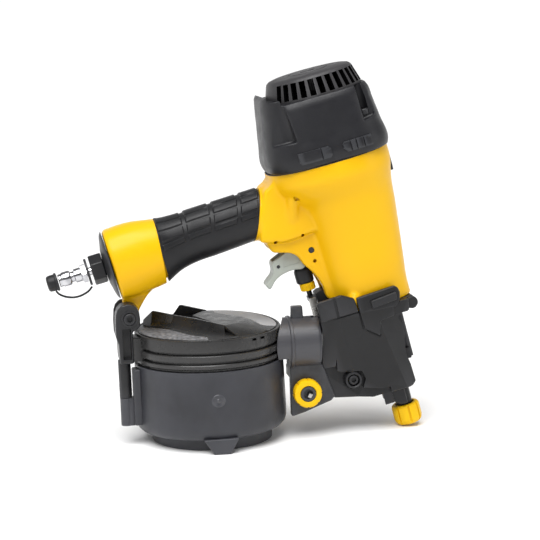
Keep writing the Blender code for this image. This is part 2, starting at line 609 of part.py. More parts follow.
def nosepiece():
    nose = bevel(prism("nosepiece", NOSE, NOSE_FACE, 4.2, BARREL, BLACK_ALLOY), 1.2, 1)
    flange = bevel(box("top_flange", (-33.0, -25.0, 84.5), (25.5, 22.5, 91.7), BARREL), 1.0, 1)
    cheeks = [bevel(prism("left_cheek", LEFT_CHEEK, -29.5, -25.5, BARREL), 1.5, 2),
              bevel(prism("right_cheek", RIGHT_CHEEK, -29.5, -25.5, BARREL), 1.5, 2),
              bevel(box("cheek_shelf", (-46.4, -28.6, 84.0), (14.4, -19.0, 91.5), BARREL), 1.5, 1)]
    collar = bevel(box("collar", (-10.0, -10.0, 24.3), (11.0, 9.8, 35.4), BARREL), 1.5, 1)
    boss = cylinder("screw_boss", 6.1, 6.0, (NOSE_SCREW[0], NOSE_FACE - 1.0, NOSE_SCREW[1]), BARREL, axis="Y")
    ears = [cylinder("upper_ear", 3.0, 8.0, (15.5, 8.0, 72.0), BARREL, sides=16),
            box("upper_ear_arm", (8.0, 1.0, 68.0), (15.5, 8.0, 76.0), BARREL),
            cylinder("lower_ear", 3.0, 8.0, (15.5, 8.0, 44.0), BARREL, sides=16),
            box("lower_ear_arm", (8.0, 1.0, 40.0), (15.5, 8.0, 48.0), BARREL)]
    join(nose, flange, *cheeks, collar, boss, *ears)
    tools = [box("nail_channel", (-60.0, -4.2, 36.0), (4.2, 12.0, 82.0), BARREL),
             cylinder("driver_channel", 4.2, 120.0, (0, 0, 60.0), BARREL, sides=20),
             cylinder("foot_bore", 7.8, 30.0, (1.0, 0, 19.0), BARREL, sides=24),
             prism("arm_slot", ARM_SLOT, -14.0, -9.6, BARREL),
             box("flare_room", (-16.2, -12.4, 20.0), (4.0, -3.2, 30.8), BARREL),
             cylinder("screw_bore", 2.4, 30.0, (NOSE_SCREW[0], NOSE_FACE, NOSE_SCREW[1]), BARREL, axis="Y",
                      sides=16),
             cylinder("screw_recess", 4.6, 6.0, (NOSE_SCREW[0], NOSE_FACE - 3.0, NOSE_SCREW[1]), BARREL,
                      axis="Y"),
             cylinder("pin_bore", 1.8, 60.0, (15.5, 8.0, 58.0), BARREL, sides=16)]
    cut(nose, *tools)
    socket_screw("nose_screw", (NOSE_SCREW[0], NOSE_FACE - 0.3, NOSE_SCREW[1]), 3.6, 3.0, 2.0, 12.0,
                 BARREL, "-Y")


def feed_door():
    door = bevel(box("feed_door", (-45.0, 4.6, 36.0), (11.0, 9.5, 81.6), BARREL, BLACK_ALLOY), 1.0, 1)
    rib = bevel(box("door_rib", (-40.0, 9.0, 52.0), (6.0, 12.0, 65.0), BARREL), 1.0, 1)
    knuckle = cylinder("door_knuckle", 3.0, 19.4, (15.5, 8.0, 58.0), BARREL, sides=16)
    arm = box("knuckle_arm", (9.0, 5.2, 48.3), (15.5, 10.0, 67.7), BARREL)
    join(door, rib, arm, knuckle)
    clear = [box("upper_ear_room", (4.0, 0.0, 67.7), (14.0, 13.0, 76.3), BARREL),
             box("lower_ear_room", (4.0, 0.0, 39.7), (14.0, 13.0, 48.3), BARREL),
             cylinder("knuckle_bore", 1.8, 60.0, (15.5, 8.0, 58.0), BARREL, sides=16)]
    cut(door, *clear)
    cylinder("door_hinge_pin", 1.5, 37.0, (15.5, 8.0, 58.0), BARREL, BARE_STEEL, sides=16)
    latch_outline = round_corners([(-4.0, -11.0), (4.0, -11.0), (4.0, 9.0), (-4.0, 9.0)], 3.0)
    prism("door_latch", latch_outline, 12.5, 15.5, BARREL, BLACK_STEEL, at=(-36.0, 58.0))


def contact_parts():
    adjuster = [(0.0, 131.8), (4.0, 131.8), (4.8, 131.0), (4.8, 120.0), (0.0, 120.0)]
    turned("trip_adjuster", adjuster, BARREL, (ADJUSTER_X, 0, 0), BLACK_STEEL, 20)
    wheel = [(5.2, 119.5), (5.6, 118.8), (5.6, 114.6), (5.2, 113.9), (2.4, 113.9), (2.4, 119.5)]
    turned("depth_wheel", wheel, BARREL, (ADJUSTER_X, 0, 0), YELLOW_PLASTIC, 24)
    arm = prism("contact_arm", ARM, -12.6, -11.0, BARREL, BARE_STEEL)
    rod = cylinder("arm_rod", 2.0, 12.6, (ADJUSTER_X, 0, 113.3), BARREL, sides=12)
    yoke = box("arm_yoke", (-50.2, -11.8, 105.6), (-45.0, 2.6, 109.3), BARREL)
    join(arm, yoke, rod)
    foot = cylinder("contact_trip", 7.0, 20.0, (1.0, 0, 13.5), BARREL, BLACK_STEEL, sides=28)
    flare = bevel(prism("foot_flare", [(-15.0, 22.5), (-15.0, 16.0), (-8.0, 14.0), (-3.0, 9.5), (3.0, 9.5),
                                       (3.0, 23.0)], -10.6, -4.0, BARREL), 0.8, 1)
    cut(join(foot, flare), cylinder("foot_bore_hole", 4.2, 40.0, (0, 0, 13.0), BARREL, sides=20))
    tip = [(9.0, 8.0), (10.6, 6.6), (10.6, -3.8), (9.6, -6.5), (7.4, -7.7), (4.4, -7.7), (4.4, 3.0),
           (7.3, 3.0),
           (7.3, 8.0)]
    turned("no_mar_tip", tip, BARREL, (1.0, 0, 0), YELLOW_PLASTIC, 32)


# Feed group

def feed_parts():
    fy, fz = FEED_AXIS
    housing = cylinder("feed_housing", FEED_RADIUS, 36.0, (63.5, fy, fz), STANCE, BLACK_ALLOY, axis="X",
                       sides=40)
    plate = bevel(prism("tip_plate", [(57.6, 52.0), (57.6, 13.0), (68.0, 15.6), (88.0, 23.0), (91.0, 26.0),
                                      (84.0, 46.5), (81.5, 52.0)], -22.0, -13.0, STANCE), 1.0, 1)
    floor = bevel(box("channel_wall", (58.5, -16.0, 40.0), (81.5, 4.4, 52.0), STANCE), 0.8, 1)
    post = cylinder("tip_post", 5.6, 10.0, (SPARE_TIP_AT[0], -25.8, SPARE_TIP_AT[1]), STANCE, axis="Y")
    tab = bevel(box("top_tab", (61.3, -14.0, 80.0), (70.4, -8.0, 94.6), STANCE), 0.8, 1)
    join(housing, plate, floor, post, tab)
    tools = [cylinder("cup_swing", CUP_SWING, 60.0, (*HINGE_AT, CUP_TOP + GAP - 30.0), STANCE, sides=128),
             cylinder("magazine_room", MAGAZINE_RADIUS + GAP + 0.6, 60.0, (0, 0, CUP_TOP + 30.0), STANCE,
                      sides=64),
             box("far_side", (40.0, 4.5, 0.0), (100.0, 40.0, 100.0), STANCE),
             box("nail_way", (40.0, -4.2, 48.0), (100.0, 10.0, 84.0), STANCE),
             cylinder("feed_bore", 8.3, 40.0, (FEED_BORE_START + 20.0, FEED_PISTON_Y, fz), STANCE, axis="X"),
             box("pawl_window", (64.5, -14.0, fz - 5.6), (90.0, 0.0, fz + 5.6), STANCE),
             prism("arm_room", ARM_SLOT, -14.0, -9.6, BARREL),
             cylinder("post_socket", 2.4, 8.0, (SPARE_TIP_AT[0], -31.0, SPARE_TIP_AT[1]), STANCE, axis="Y",
                      sides=6)]
    cut(housing, *tools)
    profile = [(0.0, 5.0), (8.0, 5.0), (8.0, 0.0), (2.4, 0.0), (2.4, -5.0), (0.0, -5.0)]
    piston = turned("feed_piston", profile, STANCE, (73.5, FEED_PISTON_Y, fz), CAST_ALUMINIUM, 24, "X")
    px, py = PAWL_PIVOT
    fork = [box("upper_fork", (px - 2.0, -14.0, fz + 2.2), (px + 2.0, py + 2.0, fz + 5.0), STANCE),
            box("lower_fork", (px - 2.0, -14.0, fz - 5.0), (px + 2.0, py + 2.0, fz - 2.2), STANCE),
            cylinder("pawl_pin", 1.0, 8.0, (px, py, fz), STANCE, sides=12)]
    join(piston, *fork)
    spring = tube_along("feed_spring", coil(5.2, -13.2, -1.0, 3.5), 0.7, STANCE, BARE_STEEL)
    spring.location = Vector((73.5, FEED_PISTON_Y, fz)) * MM
    spring.rotation_euler = (0.0, pi / 2, 0.0)
    outline = round_corners([(-1.9, -1.9), (1.9, -1.9), (2.4, 4.4), (-1.4, 6.2), (-3.4, 4.4)], 1.2)
    pawl = prism("feed_pawl", outline, fz - 1.9, fz + 1.9, STANCE, BARE_STEEL, "Z", PAWL_PIVOT)
    cut(pawl, cylinder("pawl_hole", 1.3, 20.0, (px, py, fz), STANCE, sides=12))
    tip = [(9.4, 4.2), (10.4, 3.2), (10.4, -2.8), (9.4, -4.2), (6.0, -4.2), (6.0, 4.2)]
    turned("spare_tip", tip, STANCE, (SPARE_TIP_AT[0], -26.6, SPARE_TIP_AT[1]), YELLOW_PLASTIC, 32, "Y")


# Magazine group

def magazine_top():
    rim = 80.0
    profile = [(0.0, 84.5), (40.0, 82.5), (52.5, rim + 0.6), (54.5, rim - 0.8), (54.5, 71.0), (53.9, 70.6),
               (53.9, 69.4), (54.9, 69.0), (54.9, 65.8), (54.0, 65.2), (54.0, 64.0), (MAGAZINE_RADIUS, 63.4),
               (MAGAZINE_RADIUS, CUP_TOP + GAP), (51.5, CUP_TOP + GAP), (51.5, rim - 2.0), (0.0, rim)]
    top = turned("magazine_top", profile, STANCE, finish=CANISTER_PLASTIC, sides=56)
    band = [(-47.0, 78.0), (-44.0, 97.5), (-30.0, 95.0), (-5.0, 92.6), (12.0, 91.0), (28.0, 88.0),
            (44.0, 81.5),
            (46.0, 79.0)]
    bar = bevel(prism("lid_band", band, -19.0, 17.0, STANCE), 2.0, 1)
    pad = bevel(box("bracket_pad", (-56.6, -22.0, 62.0), (-45.0, -2.0, 84.0), STANCE), 1.0, 1)
    join(top, bar, pad)
    mouth = box("nail_mouth", (40.0, -4.4, CUP_TOP - 5.0), (60.0, 8.0, 76.0), STANCE)
    cut(top, cylinder("lid_inside", 51.8, 21.0, (0, 0, 67.0), STANCE, sides=56), mouth)


def canister_cup():
    outer = CUP_RADIUS
    profile = [(outer, CUP_TOP), (outer + 0.8, 12.0), (outer - 1.2, 8.4), (outer - 3.6, CUP_FLOOR),
               (45.0, CUP_FLOOR),
               (45.0, -4.5), (41.0, -4.5), (41.0, CUP_FLOOR - 0.4), (9.0, CUP_FLOOR - 0.4),
               (9.0, CUP_FLOOR + 3.0),
               (50.0, CUP_FLOOR + 3.0), (outer - CUP_WALL, CUP_FLOOR + 6.0), (outer - CUP_WALL, CUP_TOP)]
    cup = turned("canister_cup", profile, STANCE, finish=CANISTER_PLASTIC, sides=56)
    tab = bevel(prism("foot_tab", [(-12.5, 9.0), (-4.0, -4.0), (6.0, -4.0), (13.3, 9.0)], -58.0, -42.0,
                      STANCE), 0.8, 1)
    hx, hy = HINGE_AT
    ear = bevel(box("hinge_ear", (-58.6, hy - 6.5, 14.0), (-52.5, hy + 6.5, 56.0), STANCE), 0.8, 1)
    arm = box("knuckle_arm", (hx - 1.0, hy - 4.0, 14.0), (-55.0, hy + 4.0, 34.6), STANCE)
    knuckle = cylinder("cup_knuckle", 4.5, 20.6, (hx, hy, 24.3), STANCE, sides=20)
    join(cup, tab, ear, arm, knuckle)
    tools = [cylinder("cup_inside", outer - CUP_WALL + 0.3, 44.0, (0, 0, 38.0), STANCE, sides=56),
             cylinder("hinge_bore", 2.3, 60.0, (hx, hy, 30.0), STANCE, sides=16)]
    floor = box("floor_plane", (-90.0, -90.0, -30.0), (90.0, 90.0, 0.0), None)
    cut(cup, *tools, floor)
    post = [(0.0, 52.0), (3.0, 52.0), (4.0, 51.0), (4.0, 12.0), (8.6, 10.6), (8.6, CUP_FLOOR + 0.4),
            (0.0, CUP_FLOOR + 0.4)]
    turned("platform_post", post, STANCE, finish=CANISTER_PLASTIC, sides=20)
    platform = [(46.0, 25.4), (46.0, 23.0), (8.0, 23.0), (8.0, 17.0), (4.4, 17.0), (4.4, 32.0), (7.0, 32.0),
                (7.0, 25.4)]
    turned("nail_platform", platform, STANCE, finish=BLACK_PLASTIC, sides=40)


def rear_bracket():
    hx, hy = HINGE_AT
    outline = [(-68.6, 89.3), (-67.8, 98.8), (-65.3, 103.1), (-59.0, 104.7), (-53.4, 102.3), (-50.5, 97.0),
               (-50.9, 89.3), (-52.9, 86.5), (-57.0, 84.6), (-57.0, 61.0), (-67.6, 61.0), (-67.9, 75.7),
               (-69.0, 81.0)]
    bracket = bevel(prism("rear_bracket", outline, -20.0, 10.5, STANCE, BLACK_ALLOY), 1.0, 1)
    join(bracket, cylinder("bracket_knuckle", 4.6, 28.0, (hx, hy, 49.0), STANCE, sides=24))
    tools = [box("fork_slot", (-75.0, -6.4, 83.0), (-45.0, 6.4, 110.0), STANCE),
             cylinder("bolt_hole", 2.8, 50.0, (BRACKET_BOLT[0], 0, BRACKET_BOLT[1]), STANCE, axis="Y",
                      sides=16),
             box("side_window", (-64.6, -30.0, 64.0), (-59.0, -16.5, 84.0), STANCE),
             cylinder("pin_bore", 2.3, 60.0, (hx, hy, 32.0), STANCE, sides=16)]
    cut(bracket, *tools)
    cylinder("cup_hinge_pin", 2.0, 48.0, (hx, hy, 37.5), STANCE, BARE_STEEL, sides=16)
    socket_screw("bracket_bolt", (BRACKET_BOLT[0], -20.3, BRACKET_BOLT[1]), 4.2, 2.6, 2.4, 29.0, STANCE, "-Y")


body_housing()
inlet_parts()
handle_grip()
top_cap()
exhaust_deflector()
drive_parts()
trigger_parts()
nosepiece()
feed_door()
contact_parts()
feed_parts()
magazine_top()
canister_cup()
rear_bracket()
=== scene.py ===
"""Looks for the coil nailer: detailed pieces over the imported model, studio light and camera.

Shapes are given in millimetres in three frames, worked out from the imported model's joints:
  STANCE  the canister's axis is Z
  BARREL  the driver's axis is Z, X points forward
  HANDLE  X runs along the handle to the barrel
"""

import json
import bpy
import bmesh
import numpy as np
from math import atan2, cos, degrees, pi, radians, sin, tau
from mathutils import Matrix, Vector


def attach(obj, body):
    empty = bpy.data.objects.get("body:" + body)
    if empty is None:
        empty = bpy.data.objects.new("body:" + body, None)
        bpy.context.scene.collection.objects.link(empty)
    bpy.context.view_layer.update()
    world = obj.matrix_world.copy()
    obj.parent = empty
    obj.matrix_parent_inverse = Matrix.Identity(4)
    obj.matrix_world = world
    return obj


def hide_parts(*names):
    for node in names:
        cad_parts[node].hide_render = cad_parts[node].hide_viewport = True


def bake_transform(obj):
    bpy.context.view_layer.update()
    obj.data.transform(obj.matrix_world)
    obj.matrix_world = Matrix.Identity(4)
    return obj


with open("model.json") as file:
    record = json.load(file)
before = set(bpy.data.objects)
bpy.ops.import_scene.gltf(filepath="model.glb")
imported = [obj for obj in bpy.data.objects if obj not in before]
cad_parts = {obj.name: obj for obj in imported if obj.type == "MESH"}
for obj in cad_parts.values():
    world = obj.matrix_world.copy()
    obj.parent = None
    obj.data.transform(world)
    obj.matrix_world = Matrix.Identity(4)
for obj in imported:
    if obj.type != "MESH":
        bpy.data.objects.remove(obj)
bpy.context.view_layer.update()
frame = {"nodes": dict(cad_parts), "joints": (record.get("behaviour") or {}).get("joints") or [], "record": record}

MM = 0.001
JOINTS = {joint["name"]: joint for joint in frame["joints"]}
CUP_HINGE = (-64.0, -12.0, 24.3)     # middle of the canister's knuckle, in STANCE
HANDLE_END = (-69.2, 0.0, 132.2)     # centre of the handle's rear face, in STANCE
WHEEL_AT = (-47.6, 0.0, 116.7)       # middle of the depth wheel, in BARREL


# Frames

def frame_at(axis, point, offset, axis_is="Z"):
    """A frame with one axis along a joint's axis; offset is the joint's point in that frame."""
    along = Vector(axis).normalized()
    side = Vector((0.0, 1.0, 0.0))
    if axis_is == "Z":
        columns = (side.cross(along), side, along)
    else:
        columns = (along, side, along.cross(side))
    turn = Matrix(columns).transposed().to_4x4()
    shift = Vector(point) - turn @ (Vector(offset) * MM)
    return Matrix.Translation(shift) @ turn @ Matrix.Scale(MM, 4)


STANCE = frame_at(JOINTS["canister_swing"]["axis"], JOINTS["canister_swing"]["pos_m"], CUP_HINGE)
BARREL = frame_at(JOINTS["contact_slide"]["axis"], JOINTS["depth_wheel_spin"]["pos_m"], WHEEL_AT)
HANDLE = frame_at([-c for c in JOINTS["dust_cap_pull"]["axis"]], STANCE @ Vector(HANDLE_END),
                  (0.0, 0.0, 0.0), "X")


# Materials

def shader_nodes(name, colour, roughness, metallic=0.0):
    made = bpy.data.materials.new(name)
    made.use_nodes = True
    shader = made.node_tree.nodes["Principled BSDF"]
    shader.inputs["Base Color"].default_value = (*colour, 1.0)
    shader.inputs["Roughness"].default_value = roughness
    shader.inputs["Metallic"].default_value = metallic
    return made, shader


def noise(tree, scale, detail=3.0, stretch=(1.0, 1.0, 1.0)):
    """A noise pattern in object space, scale in patterns per metre."""
    place = tree.nodes.new("ShaderNodeTexCoord")
    mapping = tree.nodes.new("ShaderNodeMapping")
    mapping.inputs["Scale"].default_value = stretch
    pattern = tree.nodes.new("ShaderNodeTexNoise")
    pattern.inputs["Scale"].default_value = scale
    pattern.inputs["Detail"].default_value = detail
    tree.links.new(place.outputs["Object"], mapping.inputs["Vector"])
    tree.links.new(mapping.outputs["Vector"], pattern.inputs["Vector"])
    return pattern.outputs["Fac"]


def remap(tree, value, low, high, out_low, out_high):
    node = tree.nodes.new("ShaderNodeMapRange")
    node.inputs["From Min"].default_value = low
    node.inputs["From Max"].default_value = high
    node.inputs["To Min"].default_value = out_low
    node.inputs["To Max"].default_value = out_high
    tree.links.new(value, node.inputs["Value"])
    return node.outputs["Result"]


def blend_colour(tree, factor, first, second):
    node = tree.nodes.new("ShaderNodeMix")
    node.data_type = "RGBA"
    for socket, value in zip((node.inputs[6], node.inputs[7]), (first, second)):
        if isinstance(value, tuple):
            socket.default_value = (*value, 1.0)
        else:
            tree.links.new(value, socket)
    tree.links.new(factor, node.inputs["Factor"])
    return node.outputs[2]


def bump(tree, shader, height, strength, distance):
    node = tree.nodes.new("ShaderNodeBump")
    node.inputs["Strength"].default_value = strength
    node.inputs["Distance"].default_value = distance
    tree.links.new(height, node.inputs["Height"])
    tree.links.new(node.outputs["Normal"], shader.inputs["Normal"])


def surface(name, colour, shade, roughness, grain, depth, metallic=0.0, patches=18.0, edge=None, coat=0.0,
            stretch=(1.0, 1.0, 1.0), spread=0.08, shine=0.5):
    """A worn, grained surface: colour patches between two tones, roughness variation, a fine bump,
    and optionally a lighter tone on raised edges."""
    made, shader = shader_nodes(name, colour, roughness, metallic)
    tree = made.node_tree
    broad = noise(tree, patches, 4.0)
    tone = blend_colour(tree, remap(tree, broad, 0.35, 0.7, 0.0, 1.0), colour, shade)
    if edge:
        geometry = tree.nodes.new("ShaderNodeNewGeometry")
        worn = remap(tree, geometry.outputs["Pointiness"], 0.52, 0.6, 0.0, 1.0)
        tone = blend_colour(tree, worn, tone, edge)
    tree.links.new(tone, shader.inputs["Base Color"])
    rough = remap(tree, noise(tree, patches * 6.0, 5.0), 0.3, 0.7, roughness - spread, roughness + spread)
    tree.links.new(rough, shader.inputs["Roughness"])
    bump(tree, shader, noise(tree, grain, 4.0, stretch), 0.5, depth)
    shader.inputs["Coat Weight"].default_value = coat
    shader.inputs["Specular IOR Level"].default_value = shine
    shader.inputs["Coat Roughness"].default_value = 0.15
    return made


YELLOW = (0.76, 0.43, 0.0015)
PAINT = surface("yellow_enamel", YELLOW, (0.73, 0.40, 0.0015), 0.36, 900.0, 0.00003, coat=0.05, patches=9.0,
                shine=0.18)
YELLOW_PLASTIC = surface("yellow_nylon", (0.78, 0.47, 0.002), (0.74, 0.43, 0.002), 0.42, 1500.0, 0.00006,
                         shine=0.2)
CAP_PLASTIC = surface("cap_plastic", (0.0125, 0.0125, 0.015), (0.009, 0.009, 0.0105), 0.40, 2600.0, 0.00010,
                      edge=(0.03, 0.031, 0.035), shine=0.3)
CUP_PLASTIC = surface("cup_plastic", (0.036, 0.037, 0.044), (0.020, 0.0205, 0.024), 0.40, 1200.0, 0.00006,
                      patches=22.0, edge=(0.05, 0.051, 0.058), shine=0.35)
LID_PLASTIC = surface("lid_plastic", (0.0125, 0.0122, 0.0122), (0.008, 0.0078, 0.0078), 0.30, 1200.0, 0.00006,
                      patches=26.0, edge=(0.05, 0.049, 0.049), shine=0.38)
GREY_PLASTIC = surface("grey_plastic", (0.40, 0.43, 0.39), (0.35, 0.375, 0.34), 0.4, 1500.0, 0.00005,
                       shine=0.3)
LID_GREY = surface("lid_grey", (0.40, 0.40, 0.41), (0.29, 0.29, 0.30), 0.5, 1400.0, 0.00005)
LABEL = surface("blank_label", (0.21, 0.21, 0.22), (0.03, 0.03, 0.032), 0.38, 900.0, 0.00003, patches=420.0)
RUBBER = surface("grip_rubber", (0.011, 0.011, 0.0125), (0.008, 0.008, 0.009), 0.44, 3200.0, 0.00008,
                 edge=(0.03, 0.03, 0.033), shine=0.3)
BLACK_STEEL = surface("black_oxide", (0.008, 0.008, 0.009), (0.005, 0.005, 0.006), 0.38, 1800.0, 0.00010,
                      edge=(0.03, 0.03, 0.033), shine=0.3)
STEEL = surface("bare_steel", (0.50, 0.49, 0.47), (0.40, 0.39, 0.37), 0.3, 1500.0, 0.00004, metallic=1.0,
                stretch=(1.0, 1.0, 6.0))
CHROME = surface("chrome_plate", (0.58, 0.58, 0.60), (0.34, 0.34, 0.36), 0.14, 1500.0, 0.00003, metallic=1.0,
                 patches=160.0, spread=0.05)
ALLOY = surface("machined_alloy", (0.62, 0.63, 0.64), (0.55, 0.56, 0.57), 0.32, 1600.0, 0.00004, metallic=1.0,
                stretch=(1.0, 1.0, 8.0))
SEALANT = surface("thread_sealant", (0.22, 0.055, 0.03), (0.12, 0.03, 0.018), 0.55, 2500.0, 0.0002,
                  patches=120.0)
# painted shade: a near-black finish with no sheen, for the shadowed faces inside the deflector's slots
SLOT_SHADE_PAINT = surface("painted_slot_shade", (0.0012, 0.0012, 0.0014), (0.0006, 0.0006, 0.0007), 0.8, 1500.0, 0.00005,
               shine=0.05)
DEFLECTOR_PLASTIC = surface("deflector_plastic", (0.030, 0.029, 0.031), (0.022, 0.021, 0.023), 0.46, 2200.0,
                            0.00009, edge=(0.05, 0.049, 0.052), shine=0.35)
GATE_PLASTIC = surface("gate_plastic", (0.055, 0.056, 0.064), (0.034, 0.035, 0.041), 0.36, 1500.0, 0.00008,
                       patches=200.0, shine=0.4)
BLACK_CAST = surface("black_cast", (0.0115, 0.0115, 0.0125), (0.0078, 0.0078, 0.0085), 0.40, 2400.0, 0.00012,
                     edge=(0.032, 0.032, 0.035), shine=0.28)
NECK_CAST = surface("neck_cast", (0.030, 0.031, 0.036), (0.016, 0.0165, 0.019), 0.36, 2200.0, 0.00012,
                    patches=170.0, edge=(0.05, 0.05, 0.056), shine=0.45)
FORK_CAST = surface("fork_cast", (0.016, 0.016, 0.0175), (0.010, 0.010, 0.011), 0.38, 2400.0, 0.00012,
                    edge=(0.036, 0.036, 0.04), shine=0.35)

SLOT_FINISH = {"yellow_paint": PAINT, "yellow_plastic": YELLOW_PLASTIC, "black_plastic": CAP_PLASTIC,
               "canister_plastic": CUP_PLASTIC, "grey_plastic": GREY_PLASTIC, "rubber": RUBBER,
               "black_steel": BLACK_STEEL, "black_alloy": BLACK_STEEL, "steel": STEEL, "chrome": CHROME,
               "aluminium": ALLOY, "sealant": SEALANT}

DARK_NODES = ("rocker_pin", "contact_arm")     # shown darker than the steel of their slot

for entry in frame["record"]["subparts"]:
    finish = BLACK_STEEL if entry["node"] in DARK_NODES else SLOT_FINISH[entry["material_slot"]]
    for slot in frame["nodes"][entry["node"]].material_slots:
        slot.material = finish


# Camera, light and floor

def look(azimuth, elevation, roll, distance, target):
    """A camera's place round the target, in the target's frame; angles in degrees."""
    a = radians(azimuth)
    e = radians(elevation)
    back = Vector((sin(a) * cos(e), -cos(a) * cos(e), sin(e)))
    right = Vector((cos(a), sin(a), 0.0))
    up = back.cross(right)
    turned_right = right * cos(radians(roll)) - up * sin(radians(roll))
    turned_up = up * cos(radians(roll)) + right * sin(radians(roll))
    local = Matrix((turned_right, turned_up, back)).transposed().to_4x4()
    local.translation = Vector(target) + back * distance
    return local


def make_camera():
    data = bpy.data.cameras.new("camera")
    data.sensor_width = 36.0
    data.lens = 113.33
    camera = bpy.data.objects.new("camera", data)
    bpy.context.scene.collection.objects.link(camera)
    local = look(-8.5, 9.0, 2.3, 1268.66, (48.867, 0.0, 120.895))
    world = STANCE @ local
    camera.matrix_world = Matrix.Translation(world.translation) @ world.to_quaternion().to_matrix().to_4x4()
    bpy.context.scene.camera = camera


def area_light(name, place, aim, size, power):
    data = bpy.data.lights.new(name, "AREA")
    data.shape = "RECTANGLE"
    data.size = size[0]
    data.size_y = size[1]
    data.energy = power
    light = bpy.data.objects.new(name, data)
    bpy.context.scene.collection.objects.link(light)
    light.location = place
    light.rotation_mode = "QUATERNION"
    light.rotation_quaternion = (Vector(place) - Vector(aim)).to_track_quat("Z", "Y")


def make_studio():
    world = bpy.data.worlds.new("studio")
    world.use_nodes = True
    tree = world.node_tree
    tree.nodes["Background"].inputs["Color"].default_value = (1.0, 1.0, 1.0, 1.0)
    direction = tree.nodes.new("ShaderNodeTexCoord")
    parts = tree.nodes.new("ShaderNodeSeparateXYZ")
    tree.links.new(direction.outputs["Generated"], parts.inputs["Vector"])
    # bright near the horizon and dim overhead, and dim in front of the object, so that black stays black
    fade = remap(tree, parts.outputs["Z"], 0.10, 0.40, 1.05, 0.30)
    front = remap(tree, parts.outputs["Y"], -0.80, -0.30, 0.32, 1.0)
    both = tree.nodes.new("ShaderNodeMath")
    both.operation = "MULTIPLY"
    tree.links.new(fade, both.inputs[0])
    tree.links.new(front, both.inputs[1])
    tree.links.new(both.outputs["Value"], tree.nodes["Background"].inputs["Strength"])
    bpy.context.scene.world = world
    bpy.context.scene.view_settings.view_transform = "Standard"
    middle = (0.0, 0.0, 0.14)
    area_light("key_light", (-0.55, -0.95, 1.05), middle, (0.8, 0.5), 5.0)
    area_light("top_light", (0.15, -0.1, 1.2), middle, (0.9, 0.7), 3.0)
    area_light("side_light", (1.1, -0.6, 0.5), middle, (0.4, 0.8), 2.0)
    sun = bpy.data.lights.new("sky_light", "SUN")
    sun.energy = 3.4
    sun.angle = radians(50.0)
    sky = bpy.data.objects.new("sky_light", sun)
    sky.rotation_euler = (radians(24.0), radians(-14.0), 0.0)
    bpy.context.scene.collection.objects.link(sky)
    floor = bpy.data.meshes.new("studio_floor")
    reach = 6.0
    corners = [(-reach, -reach, 0), (reach, -reach, 0), (reach, reach, 0), (-reach, reach, 0)]
    floor.from_pydata(corners, [], [(0, 1, 2, 3)])
    ground = bpy.data.objects.new("studio_floor", floor)
    ground.location.z = -0.0004
    bpy.context.scene.collection.objects.link(ground)
    floor.materials.append(shader_nodes("studio_white", (0.93, 0.93, 0.93), 0.6)[0])


make_camera()
make_studio()


# Building helpers: shapes are made in a frame's millimetres and settled into metres at the end

def add(name, work, place):
    mesh = bpy.data.meshes.new(name)
    bmesh.ops.recalc_face_normals(work, faces=work.faces)
    work.to_mesh(mesh)
    work.free()
    made = bpy.data.objects.new(name, mesh)
    made.matrix_world = place
    bpy.context.scene.collection.objects.link(made)
    return made


def block(low, high, place):
    low = Vector(low)
    high = Vector(high)
    work = bmesh.new()
    bmesh.ops.create_cube(work, size=1.0)
    bmesh.ops.scale(work, vec=high - low, verts=work.verts)
    bmesh.ops.translate(work, vec=(low + high) / 2, verts=work.verts)
    return add("block", work, place)


AXIS_TURN = {"X": Matrix.Rotation(pi / 2, 4, "Y"), "-X": Matrix.Rotation(-pi / 2, 4, "Y"),
             "Y": Matrix.Rotation(-pi / 2, 4, "X"), "-Y": Matrix.Rotation(pi / 2, 4, "X"),
             "Z": Matrix.Identity(4)}


def rod(radius, length, at, place, axis="Z", sides=48):
    work = bmesh.new()
    bmesh.ops.create_cone(work, cap_ends=True, segments=sides, radius1=radius, radius2=radius, depth=length)
    bmesh.ops.transform(work, matrix=Matrix.Translation(at) @ AXIS_TURN[axis], verts=work.verts)
    return add("rod", work, place)


def turned(name, profile, place, at=(0.0, 0.0, 0.0), axis="Z", sides=96):
    """A turned piece from a profile of (radius, height), closed if it never reaches the axis."""
    closed = all(radius > 0.0 for radius, _ in profile)
    work = bmesh.new()
    rows = []
    for radius, height in profile:
        if radius > 0.0:
            rows.append([work.verts.new((radius * cos(tau * k / sides), radius * sin(tau * k / sides),
                                         height))
                         for k in range(sides)])
        else:
            rows.append([work.verts.new((0.0, 0.0, height))])
    pairs = list(zip(rows, rows[1:]))
    if closed:
        pairs.append((rows[-1], rows[0]))
    for upper, lower in pairs:
        for k in range(sides):
            after = (k + 1) % sides
            if len(upper) == 1:
                work.faces.new((upper[0], lower[k], lower[after]))
            elif len(lower) == 1:
                work.faces.new((upper[k], lower[0], upper[after]))
            else:
                work.faces.new((upper[k], lower[k], lower[after], upper[after]))
    bmesh.ops.transform(work, matrix=Matrix.Translation(at) @ AXIS_TURN[axis], verts=work.verts)
    return add(name, work, place)


def prism(outline, low, high, place, axis="Y", name="prism"):
    """An outline of (x, z) along Y, or (x, y) along Z."""
    work = bmesh.new()
    rows = []
    for height in (low, high):
        if axis == "Y":
            rows.append([work.verts.new((x, height, z)) for x, z in outline])
        else:
            rows.append([work.verts.new((x, y, height)) for x, y in outline])
    count = len(outline)
    for k in range(count):
        after = (k + 1) % count
        work.faces.new((rows[0][k], rows[0][after], rows[1][after], rows[1][k]))
    work.faces.new(rows[0])
    work.faces.new(rows[1])
    return add(name, work, place)


